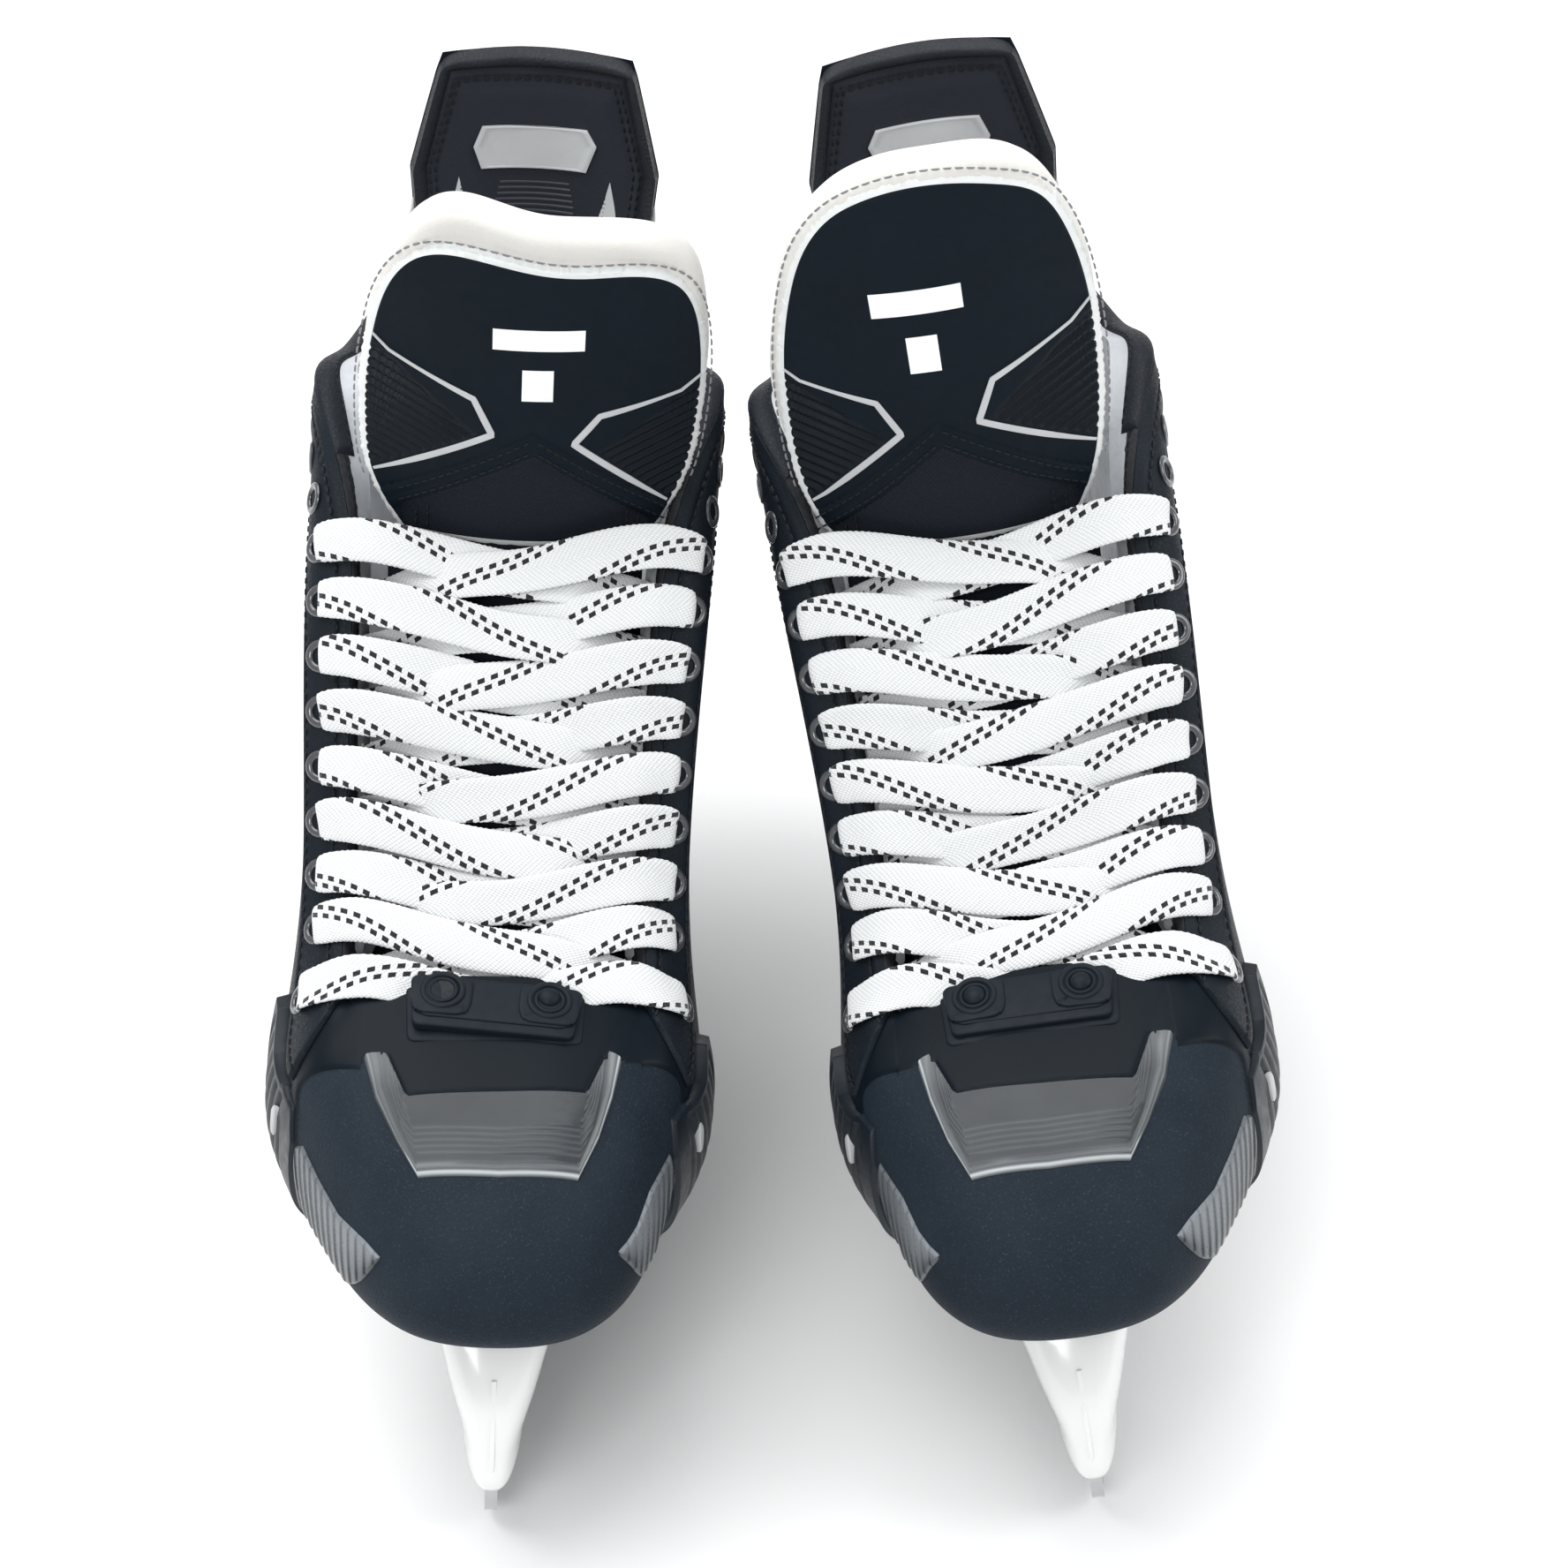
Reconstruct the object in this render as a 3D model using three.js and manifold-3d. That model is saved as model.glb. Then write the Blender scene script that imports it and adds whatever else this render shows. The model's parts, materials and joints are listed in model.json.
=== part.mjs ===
// A pair of ice hockey skates standing on their runners, toes towards -Y, leaning on each other at the collars.
// Millimetres, +Z up. Each skate is built in its own frame (x across, -y to the toe, z up from the ice) and then stood in place.
// The pair's frame has its origin on the ice, under the middle of the pair's box.
import * as THREE from "three";
import { mergeVertices } from "three/addons/utils/BufferGeometryUtils.js";
import Module from "manifold-3d";

const wasm = await Module();
wasm.setup();

// ---- Driving dimensions ----
const T_SHELL = 2.4; // composite quarter wall
const T_LINER = 3.0; // liner against the quarter
const GAP = 0.4; // clearance between stacked pieces
const T_CAP = 2.6; // toe cap wall
const T_SOLE = 3.0; // outsole plate
const T_FLANGE = 2.8; // holder flange
const T_EYESTAY = 1.3; // facing that carries the eyelets
const EYESTAY_WIDTH = 25; // from the throat edge down the side
const EYELET_INSET = 13; // eyelet row from the throat edge
const EYELET_PITCH = 13.3; // between eyelets
const FIRST_EYELET_Y = -60.5;
const EYELETS = 12; // a side
const LACED_ROWS = 9;
const LACE_WIDTH = 9.2;
const LACE_THICK = 1.1;
const RUNNER_THICK = 3.0;
const SLOT_HALF = 1.9; // half the width of the holder's groove
const TONGUE_HALF = 33;
const TONGUE_PIVOT = [8.0, 204.5]; // y, z
const TENDON_PIVOT = [146.5, 209.0]; // y, z
const LEVER_PIVOT = [84, 43]; // y, z
const RUNNER_PIVOT = [-100, 31]; // y, z of the front hook
// stance of each skate: x, y of the runner on the ice, lean about Y, turn about Z (degrees)
const STANCE = {
  right: { x: -77.7, y: 0.0, lean: 5.5, turn: 2.0, medial: 1, tongueLift: 0 },
  left: { x: 79.3, y: -1.3, lean: -7.9, turn: -0.3, medial: -1, tongueLift: 12 },
};
const FRAME_SHIFT = [-0.025, -0.84, 0]; // moves the middle of the pair's box over the origin

// ---- Small vector helpers ----
const add = (a, b) => [a[0] + b[0], a[1] + b[1], a[2] + b[2]];
const sub = (a, b) => [a[0] - b[0], a[1] - b[1], a[2] - b[2]];
const mul = (a, k) => [a[0] * k, a[1] * k, a[2] * k];
const dot = (a, b) => a[0] * b[0] + a[1] * b[1] + a[2] * b[2];
const cross = (a, b) => [
  a[1] * b[2] - a[2] * b[1],
  a[2] * b[0] - a[0] * b[2],
  a[0] * b[1] - a[1] * b[0],
];
const len = (a) => Math.hypot(a[0], a[1], a[2]);
const unit = (a) => mul(a, 1 / (len(a) || 1));
const mix = (a, b, t) => add(mul(a, 1 - t), mul(b, t));
const smooth = (x) => {
  const t = Math.min(1, Math.max(0, x));
  return t * t * (3 - 2 * t);
};
const range = (a, b, n) =>
  Array.from({ length: n + 1 }, (_, i) => a + ((b - a) * i) / n);

// ---- Cubic splines through points ----
function solve(A, B) {
  const n = A.length;
  for (let i = 0; i < n; i++) {
    let p = i;
    for (let r = i + 1; r < n; r++)
      if (Math.abs(A[r][i]) > Math.abs(A[p][i])) p = r;
    [A[i], A[p]] = [A[p], A[i]];
    [B[i], B[p]] = [B[p], B[i]];
    for (let r = i + 1; r < n; r++) {
      const f = A[r][i] / A[i][i];
      if (!f) continue;
      for (let c = i; c < n; c++) A[r][c] -= f * A[i][c];
      B[r] = sub(B[r], mul(B[i], f));
    }
  }
  for (let i = n - 1; i >= 0; i--) {
    for (let c = i + 1; c < n; c++) B[i] = sub(B[i], mul(B[c], A[i][c]));
    B[i] = mul(B[i], 1 / A[i][i]);
  }
  return B;
}
function spline(u, v, period = 0) {
  const n = v.length;
  const h = (i) =>
    period
      ? i === n - 1
        ? period - u[n - 1] + u[0]
        : u[i + 1] - u[i]
      : u[i + 1] - u[i];
  const A = Array.from({ length: n }, () => new Array(n).fill(0));
  const B = Array.from({ length: n }, () => [0, 0, 0]);
  for (let i = 0; i < n; i++) {
    if (!period && (i === 0 || i === n - 1)) {
      A[i][i] = 1;
      continue;
    }
    const p = (i - 1 + n) % n,
      q = (i + 1) % n;
    A[i][p] += h(p);
    A[i][i] += 2 * (h(p) + h(i));
    A[i][q] += h(i);
    B[i] = mul(
      sub(mul(sub(v[q], v[i]), 1 / h(i)), mul(sub(v[i], v[p]), 1 / h(p))),
      6,
    );
  }
  const M = solve(A, B);
  return (x) => {
    if (period) x = ((((x - u[0]) % period) + period) % period) + u[0];
    let i = 0;
    const last = period ? n - 1 : n - 2;
    while (i < last && x > u[i + 1]) i++;
    const j = (i + 1) % n,
      w = h(i),
      a = (u[i] + w - x) / w,
      b = 1 - a;
    return add(
      add(mul(v[i], a), mul(v[j], b)),
      mul(
        add(mul(M[i], a * a * a - a), mul(M[j], b * b * b - b)),
        (w * w) / 6,
      ),
    );
  };
}

// ---- The boot's outer surface ----
// Stations run from the toe's centre round the medial side to the heel's centre. Each holds the wall's profile from the sole edge to the top edge.
const STATIONS = [
  [[0, -125, 64.5], [0, -135, 71.5], [0, -145.5, 82.5], [0, -142, 97], [0, -124, 110], [0, -66, 124]],
  [[14, -122.5, 64.3], [17, -132.5, 71.3], [18.8, -141, 82.3], [17.5, -137, 97], [15, -120, 110.2], [12, -66, 123.8]],
  [[25, -113.5, 63.6], [29.5, -121.5, 71], [31, -128, 83], [29, -124, 98], [24.5, -111, 110.8], [22, -66.5, 122.4]],
  [[32, -94, 61.8], [38, -101, 70.4], [40, -105.5, 84], [38.5, -104, 99], [33.5, -98, 111.5], [29, -68, 120.6]],
  [[38, -83, 59], [45, -83, 70], [47, -83, 85], [45, -83, 101], [40, -80.5, 113], [33, -69, 119.4]],
  [[39.5, -60, 59], [48, -60, 70.5], [50, -60, 86], [47.5, -59, 101], [42.5, -53, 116], [33.5, -46, 131]],
  [[35, -30, 60.5], [43, -30, 72], [46.5, -30, 88], [45.5, -27, 116], [43.5, -20, 153], [34.5, -13, 171]],
  [[29, 0, 63], [36, 0, 75], [40.5, 0, 93], [42.5, 2, 128], [46.5, 7, 184], [38.5, 15, 203]],
  [[26.5, 35, 65.5], [32, 35, 79], [36.5, 35, 98], [39.5, 36, 145], [49, 42, 200], [49.5, 48, 218]],
  [[28, 75, 67.5], [33, 75, 82], [36, 75, 102], [39, 76, 150], [44, 78, 190], [45.5, 80, 209]],
  [[27, 110, 69], [31.5, 110, 84], [34, 110, 104], [34, 108, 150], [36.5, 111, 188], [37.5, 113, 205]],
  [[18, 133, 70], [22, 137.5, 85], [23, 138, 104], [22, 131.5, 150], [23, 134, 186], [23.5, 136, 204]],
  [[0, 142, 70.5], [0, 148, 86], [0, 149, 104], [0, 141, 150], [0, 143, 186], [0, 145, 204]],
];
// The lateral side is fuller at the ball than the medial side.
const fuller = (p, level) =>
  (level === 0 ? 3 : 5.2) *
  smooth((p[1] + 142) / 55) *
  smooth((55 - p[1]) / 85);
const ALL = [
  ...STATIONS,
  ...STATIONS.slice(1, -1)
    .reverse()
    .map((st) => st.map((p, k) => [-(p[0] + fuller(p, k)), p[1], p[2]])),
];
const LEVEL2 = ALL.map((st) => st[2]);
const S_AT = [0];
for (let i = 1; i < ALL.length; i++)
  S_AT.push(S_AT[i - 1] + len(sub(LEVEL2[i], LEVEL2[i - 1])));
const S_ROUND =
  S_AT[S_AT.length - 1] + len(sub(LEVEL2[0], LEVEL2[LEVEL2.length - 1]));
const PROFILES = ALL.map((st) => {
  const u = [0];
  for (let i = 1; i < st.length; i++)
    u.push(u[i - 1] + Math.sqrt(len(sub(st[i], st[i - 1]))));
  const all = u[u.length - 1];
  const f = spline(u, st);
  // fraction of true length
  const fine = range(0, all, 48).map(f);
  const cum = [0];
  for (let i = 1; i < fine.length; i++)
    cum.push(cum[i - 1] + len(sub(fine[i], fine[i - 1])));
  const total = cum[cum.length - 1];
  return (t) => {
    const want = t * total;
    let i = 0;
    while (i < 47 && cum[i + 1] < want) i++;
    const k = (want - cum[i]) / (cum[i + 1] - cum[i]);
    return f((all * (i + k)) / 48);
  };
});
const ringCache = new Map();
function ring(t) {
  const key = t.toFixed(6);
  if (!ringCache.has(key))
    ringCache.set(
      key,
      spline(
        S_AT,
        PROFILES.map((f) => f(t)),
        S_ROUND,
      ),
    );
  return ringCache.get(key);
}
const wall = (s, t) => ring(t)(s);
function wallNormal(s, t) {
  const d = 0.004;
  const a = sub(wall(s + 1.5, t), wall(s - 1.5, t));
  const t0 = Math.max(0, t - d),
    t1 = Math.min(1, t + d);
  const b = sub(wall(s, t1), wall(s, t0));
  return unit(cross(b, a)).map((x) => -x); // outward: up the wall x round the wall, turned out
}
const wallLength = (s) => {
  let sum = 0,
    was = wall(s, 0);
  for (const t of range(0, 1, 12).slice(1)) {
    const p = wall(s, t);
    sum += len(sub(p, was));
    was = p;
  }
  return sum;
};
const outOf = (s, t, d) => {
  const n = wallNormal(s, t);
  return add(wall(s, t), mul(n, d));
};
const S_MED = (i) => S_AT[i]; // a station on the medial side
const S_LAT = (i) => S_ROUND - 0 + (i === 0 ? 0 : -S_ROUND + S_AT[24 - i]); // the same station on the lateral side
const soleZ = (() => {
  const f = spline(
    STATIONS.map((st) => st[0][1]),
    STATIONS.map((st) => [0, 0, st[0][2]]),
  );
  return (y) => f(Math.min(142, Math.max(-125, y)))[2];
})();
const soleHalf = (() => {
  const f = spline(
    STATIONS.map((st) => st[0][1]),
    STATIONS.map((st) => [st[0][0], 0, 0]),
  );
  return (y) => Math.max(0.5, f(Math.min(141.9, Math.max(-124.9, y)))[0]);
})();

// ---- Solids ----
function geometryOf(points, faces) {
  let volume = 0;
  for (const [a, b, c] of faces)
    volume += dot(points[a], cross(points[b], points[c]));
  const index = volume < 0 ? faces.flatMap(([a, b, c]) => [a, c, b]) : faces.flat();
  const g = new THREE.BufferGeometry();
  g.setAttribute(
    "position",
    new THREE.Float32BufferAttribute(points.flat(), 3),
  );
  g.setIndex(index);
  return g;
}
// A closed solid between two grids of points, [row][column].
function between(outer, inner, closedRows = false) {
  const R = outer.length,
    C = outer[0].length;
  const points = [...outer.flat(), ...inner.flat()];
  const id = (k, i, j) => k * R * C + (i % R) * C + j;
  const faces = [];
  const quad = (a, b, c, d) => faces.push([a, b, c], [a, c, d]);
  const rows = closedRows ? R : R - 1;
  for (let i = 0; i < rows; i++)
    for (let j = 0; j < C - 1; j++) {
      quad(id(0, i, j), id(0, i + 1, j), id(0, i + 1, j + 1), id(0, i, j + 1));
      quad(id(1, i, j), id(1, i, j + 1), id(1, i + 1, j + 1), id(1, i + 1, j));
    }
  for (let i = 0; i < rows; i++) {
    quad(id(0, i, 0), id(1, i, 0), id(1, i + 1, 0), id(0, i + 1, 0));
    quad(
      id(0, i, C - 1),
      id(0, i + 1, C - 1),
      id(1, i + 1, C - 1),
      id(1, i, C - 1),
    );
  }
  if (!closedRows)
    for (let j = 0; j < C - 1; j++) {
      quad(id(0, 0, j), id(0, 0, j + 1), id(1, 0, j + 1), id(1, 0, j));
      quad(
        id(0, R - 1, j),
        id(1, R - 1, j),
        id(1, R - 1, j + 1),
        id(0, R - 1, j + 1),
      );
    }
  return geometryOf(points, faces);
}
// A closed solid through rings of points, with flat ends.
function loft(rings) {
  const N = rings[0].length,
    points = rings.flat(),
    faces = [];
  for (let r = 0; r < rings.length - 1; r++)
    for (let i = 0; i < N; i++) {
      const a = r * N + i,
        b = r * N + ((i + 1) % N);
      faces.push([a, b, b + N], [a, b + N, a + N]);
    }
  const last = (rings.length - 1) * N;
  for (let i = 1; i < N - 1; i++) {
    faces.push([0, i + 1, i]);
    faces.push([last, last + i, last + i + 1]);
  }
  return geometryOf(points, faces);
}
function manifold(geometry) {
  const g = geometry.clone();
  g.deleteAttribute("normal");
  g.deleteAttribute("uv");
  const m = mergeVertices(g, 1e-4);
  return new wasm.Manifold(
    new wasm.Mesh({
      numProp: 3,
      vertProperties: new Float32Array(m.attributes.position.array),
      triVerts: new Uint32Array(m.index.array),
    }),
  );
}
function fromManifold(m) {
  const mesh = m.simplify(0.03).getMesh(),
    g = new THREE.BufferGeometry();
  g.setAttribute(
    "position",
    new THREE.BufferAttribute(new Float32Array(mesh.vertProperties), 3),
  );
  g.setIndex(new THREE.BufferAttribute(new Uint32Array(mesh.triVerts), 1));
  return g;
}
const union = (...gs) =>
  fromManifold(gs.map(manifold).reduce((a, b) => a.add(b)));
const minus = (g, ...cutters) =>
  fromManifold(cutters.map(manifold).reduce((a, b) => a.subtract(b), manifold(g)));
const place = (g, m) => g.clone().applyMatrix4(m);
const box = (x0, x1, y0, y1, z0, z1) =>
  new THREE.BoxGeometry(x1 - x0, y1 - y0, z1 - z0).translate(
    (x0 + x1) / 2,
    (y0 + y1) / 2,
    (z0 + z1) / 2,
  );
// A cylinder from a to b.
function rod(a, b, r, sides = 12) {
  const d = sub(b, a);
  const g = new THREE.CylinderGeometry(r, r, len(d), sides);
  const q = new THREE.Quaternion().setFromUnitVectors(
    new THREE.Vector3(0, 1, 0),
    new THREE.Vector3(...unit(d)),
  );
  return g
    .applyQuaternion(q)
    .translate((a[0] + b[0]) / 2, (a[1] + b[1]) / 2, (a[2] + b[2]) / 2);
}
// A plate in the YZ plane, from x0 to x1.
function plateYZ(outline, x0, x1) {
  const shape = new THREE.Shape(outline.map(([y, z]) => new THREE.Vector2(y, z)));
  const g = new THREE.ExtrudeGeometry(shape, {
    depth: x1 - x0,
    bevelEnabled: false,
    curveSegments: 4,
  });
  const m = new THREE.Matrix4().makeBasis(
    new THREE.Vector3(0, 1, 0),
    new THREE.Vector3(0, 0, 1),
    new THREE.Vector3(1, 0, 0),
  );
  return g.applyMatrix4(m).translate(x0, 0, 0);
}
// Height of the toe cap's coarse outer surface under a point, from its own facets.
function dropOn(grid) {
  const tris = [];
  for (let i = 0; i < grid.length - 1; i++)
    for (let j = 0; j < grid[0].length - 1; j++) {
      tris.push([grid[i][j], grid[i + 1][j], grid[i + 1][j + 1]]);
      tris.push([grid[i][j], grid[i + 1][j + 1], grid[i][j + 1]]);
    }
  return (x, y) => {
    let best = -1e9;
    for (const [a, b, c] of tris) {
      const d =
        (b[1] - c[1]) * (a[0] - c[0]) + (c[0] - b[0]) * (a[1] - c[1]);
      if (Math.abs(d) < 1e-9) continue;
      const k = ((b[1] - c[1]) * (x - c[0]) + (c[0] - b[0]) * (y - c[1])) / d;
      const l = ((c[1] - a[1]) * (x - c[0]) + (a[0] - c[0]) * (y - c[1])) / d;
      const m = 1 - k - l;
      if (k < -1e-6 || l < -1e-6 || m < -1e-6) continue;
      best = Math.max(best, k * a[2] + l * b[2] + m * c[2]);
    }
    return best;
  };
}

// ---- One skate, medial side at +x ----
function parts(tongueLift, tabAskew) {
  const made = {};

  // Toe cap: the front of the wall, round to the fourth station on each side.
  const capS = [
    ...range(S_LAT(4) - S_ROUND, 0, 8).slice(0, -1),
    ...range(0, S_MED(4), 8),
  ];
  const capT = [0, 0.1, 0.22, 0.36, 0.5, 0.66, 0.83, 1];
  const capOuter = capS.map((s) => capT.map((t) => wall(s, t)));
  const capInner = capS.map((s) => capT.map((t) => outOf(s, t, -T_CAP)));
  made.toe_cap = between(capOuter, capInner);
  const capTop = dropOn(capOuter);

  // Quarter shell: from station four round the heel.
  const edge = 0.9; // clear of the cap
  const quarterS = [];
  for (let i = 4; i < 20; i++) {
    for (const k of range(0, 1, 2).slice(0, -1))
      quarterS.push(S_AT[i] + k * (S_AT[i + 1] - S_AT[i]));
  }
  quarterS.push(S_AT[20]);
  quarterS[0] += edge;
  quarterS[quarterS.length - 1] -= edge;
  const quarterT = [0, 0.1, 0.24, 0.44, 0.64, 0.82, 1];
  made.boot_shell = between(
    quarterS.map((s) => quarterT.map((t) => wall(s, t))),
    quarterS.map((s) => quarterT.map((t) => outOf(s, t, -T_SHELL))),
  );

  const keepOffShell = between(
    quarterS.map((s) => quarterT.map((t) => outOf(s, t, 0.3))),
    quarterS.map((s) => quarterT.map((t) => outOf(s, t, -T_SHELL))),
  );
  const keepOffCap = between(
    capS.map((s) => capT.map((t) => outOf(s, t, 0.35))),
    capInner,
  );

  // Liner inside the shell.
  const linerT = quarterT.slice(1);
  const linerS = quarterS.slice(1, -1);
  made.liner = between(
    linerS.map((s) => linerT.map((t) => outOf(s, t, -T_SHELL - GAP))),
    linerS.map((s) =>
      linerT.map((t) => outOf(s, t, -T_SHELL - GAP - T_LINER)),
    ),
  );

  // Outsole, footbed and the holder's flanges follow the sole's line.
  const plate = (ys, half, top, bottom, lean = () => 0) =>
    between(
      ys.map((y) =>
        [-1, -0.5, 0, 0.5, 1].map((k) => [k * half(y) + lean(y), y, soleZ(y) + top]),
      ),
      ys.map((y) =>
        [-1, -0.5, 0, 0.5, 1].map((k) => [k * half(y) + lean(y), y, soleZ(y) + bottom]),
      ),
    );
  const lateralShift = (y) => -1.4 * smooth((y + 142) / 55) * smooth((55 - y) / 85);
  const soleYs = [-122.6, -120, -115, -106, -95, -80, -60, -35, -10, 20, 50, 80, 105, 125, 136, 141];
  const rivetAt = [
    [-20.6, -104],
    [20.6, -104],
    [-26, -62],
    [26, -62],
    [-19, 88],
    [19, 88],
  ];
  const holes = rivetAt.map(([x, y]) => rod([x, y, 40], [x, y, 90], 2.7, 6));
  const soleTop = -GAP;
  const outsole = plate(
    soleYs,
    (y) => soleHalf(y) + 0.6 - 2.2 * smooth((-80 - y) / 35),
    soleTop,
    soleTop - T_SOLE,
    lateralShift,
  );
  made.outsole = minus(outsole, ...holes);
  made.footbed = plate(
    [-110, -104, -90, -60, -20, 20, 60, 100, 120, 129],
    (y) => soleHalf(y) - 5.5,
    5.2,
    2.2,
    lateralShift,
  );

  // Windows set on the cap: one across its top, one on each front corner.
  const outline = (k) => {
    // half width of the top window along its length, 0 at the back
    return spline(
      [0, 0.38, 0.75, 1],
      [
        [31, 0, 0],
        [26.5, 0, 0],
        [22.5, 0, 0],
        [18.2, 0, 0],
      ],
    )(k)[0];
  };
  const onCap = (x, y, d) => [x, y, capTop(x, y) + d];
  const windowRows = range(0, 1, 4);
  const windowGrid = (d) =>
    windowRows.map((k) =>
      [-1, -0.6, -0.2, 0.2, 0.6, 1].map((m) => {
        const y = -96 - 26.5 * k;
        return onCap(m * (24.5 - 6 * k), y, d);
      }),
    );
  made.toe_window_top = minus(between(windowGrid(1.5), windowGrid(0.6)), keepOffCap);
  // each column: place round the toe from its centre, lower and upper height on the wall
  const CORNER = {
    medial: [[65.5, 0.415, 0.49], [58.7, 0.315, 0.462], [51, 0.24, 0.43], [43.5, 0.235, 0.38], [36, 0.335, 0.358]],
    lateral: [[-75, 0.39, 0.47], [-70, 0.25, 0.475], [-61, 0.215, 0.427], [-50, 0.2, 0.378], [-43, 0.2, 0.368], [-33, 0.325, 0.35]],
  };
  const cornerWindow = (side) => {
    const grid = (d) =>
      CORNER[side].map(([s, low, top]) =>
        range(low, top, 2).map((t) => outOf(s < 0 ? s + S_ROUND : s, t, d)),
      );
    const [outer, inner] = [grid(1.6), grid(0.6)];
    return minus(
      side === "medial" ? between(outer.reverse(), inner.reverse()) : between(outer, inner),
      keepOffCap,
    );
  };
  made.toe_window_medial = cornerWindow("medial");
  made.toe_window_lateral = cornerWindow("lateral");

  // Eyestays and their eyelets.
  const rows = {};
  const keepOffStay = [],
    keepOffEyes = [];
  for (const [side, from, to] of [
    ["medial", S_MED(4), S_MED(8)],
    ["lateral", S_AT[20], S_AT[16]],
  ]) {
    const dir = Math.sign(to - from);
    const ss = range(from + dir * 0.8, to + dir * 2, 11);
    const depth = (s) => wallLength(s);
    const L = ss.map(depth);
    const grid = (d) =>
      ss.map((s, i) =>
        [1, 1 - EYESTAY_WIDTH / 2 / L[i], 1 - EYESTAY_WIDTH / L[i]].map((t) =>
          outOf(s, t, d),
        ),
      );
    made["eyestay_" + side] = minus(
      between(grid(GAP + T_EYESTAY), grid(GAP)),
      keepOffShell,
    );
    const wide = (d) =>
      ss.map((s, i) =>
        [1, 1 - EYESTAY_WIDTH / 2 / L[i], 1 - EYESTAY_WIDTH / L[i]].map((t, k) => {
          const e = sub(outOf(s, 1, d), outOf(s, 1 - 4 / L[i], d));
          return add(outOf(s, t, d), k ? [0, 0, 0] : mul(unit(e), 0.4));
        }),
      );
    keepOffStay.push(between(wide(GAP + T_EYESTAY + 0.3), wide(-0.2)));
    // walk along the eyelet line at the pitch
    const at = (s) => wall(s, 1 - EYELET_INSET / wallLength(s));
    const line = [];
    let s = from;
    while (at(s)[1] < FIRST_EYELET_Y) s += dir * 0.25;
    let was = at(s);
    line.push(s);
    while (line.length < EYELETS) {
      let gone = 0;
      while (gone < EYELET_PITCH) {
        s += dir * 0.25;
        const p = at(s);
        gone += len(sub(p, was));
        was = p;
      }
      line.push(s);
    }
    rows[side] = line.map((q) => {
      const t = 1 - EYELET_INSET / wallLength(q);
      return {
        s: q,
        eye: wall(q, t),
        n: wallNormal(q, t),
        edge: wall(q, 1),
        en: wallNormal(q, 1),
        mid: wall(q, 1 - 5 / wallLength(q)),
        mn: wallNormal(q, 1 - 5 / wallLength(q)),
      };
    });
    const base = GAP + T_EYESTAY + 0.5;
    // Eyelet rings on one strip of tape: wide at each eyelet, narrow between.
    const strip = (low, high, grow) => {
      const ribs = [];
      rows[side].forEach((r, i) => {
        const a = rows[side][Math.max(0, i - 1)].eye,
          b = rows[side][Math.min(EYELETS - 1, i + 1)].eye;
        const along = unit(sub(b, a)),
          across = unit(cross(along, r.n));
        for (const [u, w] of [
          [-3.9, 1.2],
          [-1.8, 3.9],
          [1.8, 3.9],
          [3.9, 1.2],
        ])
          ribs.push([r, mul(along, u), mul(across, w + grow)]);
      });
      const at = (d) =>
        ribs.map(([r, u, w]) => {
          const p = add(add(r.eye, u), mul(r.n, d));
          return [add(p, w), sub(p, w)];
        });
      return between(at(high), at(low));
    };
    keepOffEyes.push(strip(base - 0.5, base + 1.2, 0.3));
    made["eyelets_" + side] = minus(
      strip(base, base + 0.9, 0),
      keepOffStay[keepOffStay.length - 1],
    );
  }

  // Laces: over one eyestay into its eyelet, out from under the edge and up to the next row on the other side.
  const ribbon = (centres, across) => {
    const rings = centres.map((c, i) => {
      const a = centres[Math.max(0, i - 1)],
        b = centres[Math.min(centres.length - 1, i + 1)];
      const d = unit(sub(b, a));
      let w = sub(across, mul(d, dot(across, d)));
      w = unit(w);
      const n = cross(d, w);
      const hw = LACE_WIDTH / 2,
        ht = LACE_THICK / 2;
      return [
        add(c, add(mul(w, hw), mul(n, ht))),
        add(c, add(mul(w, -hw), mul(n, ht))),
        add(c, add(mul(w, -hw), mul(n, -ht))),
        add(c, add(mul(w, hw), mul(n, -ht))),
      ];
    });
    return loft(rings);
  };
  const over = GAP + T_EYESTAY + 0.5 + 0.9 + GAP + LACE_THICK / 2 + 0.2;
  let lace = null;
  const M = rows.medial,
    N = rows.lateral;
  const up = (i) =>
    unit(
      sub(
        mix(M[Math.min(i + 1, 11)].eye, N[Math.min(i + 1, 11)].eye, 0.5),
        mix(M[Math.max(i - 1, 0)].eye, N[Math.max(i - 1, 0)].eye, 0.5),
      ),
    );
  const joinLace = (g) => {
    lace = lace ? lace.add(manifold(g)) : manifold(g);
  };
  const rim = (r, k) => {
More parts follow.
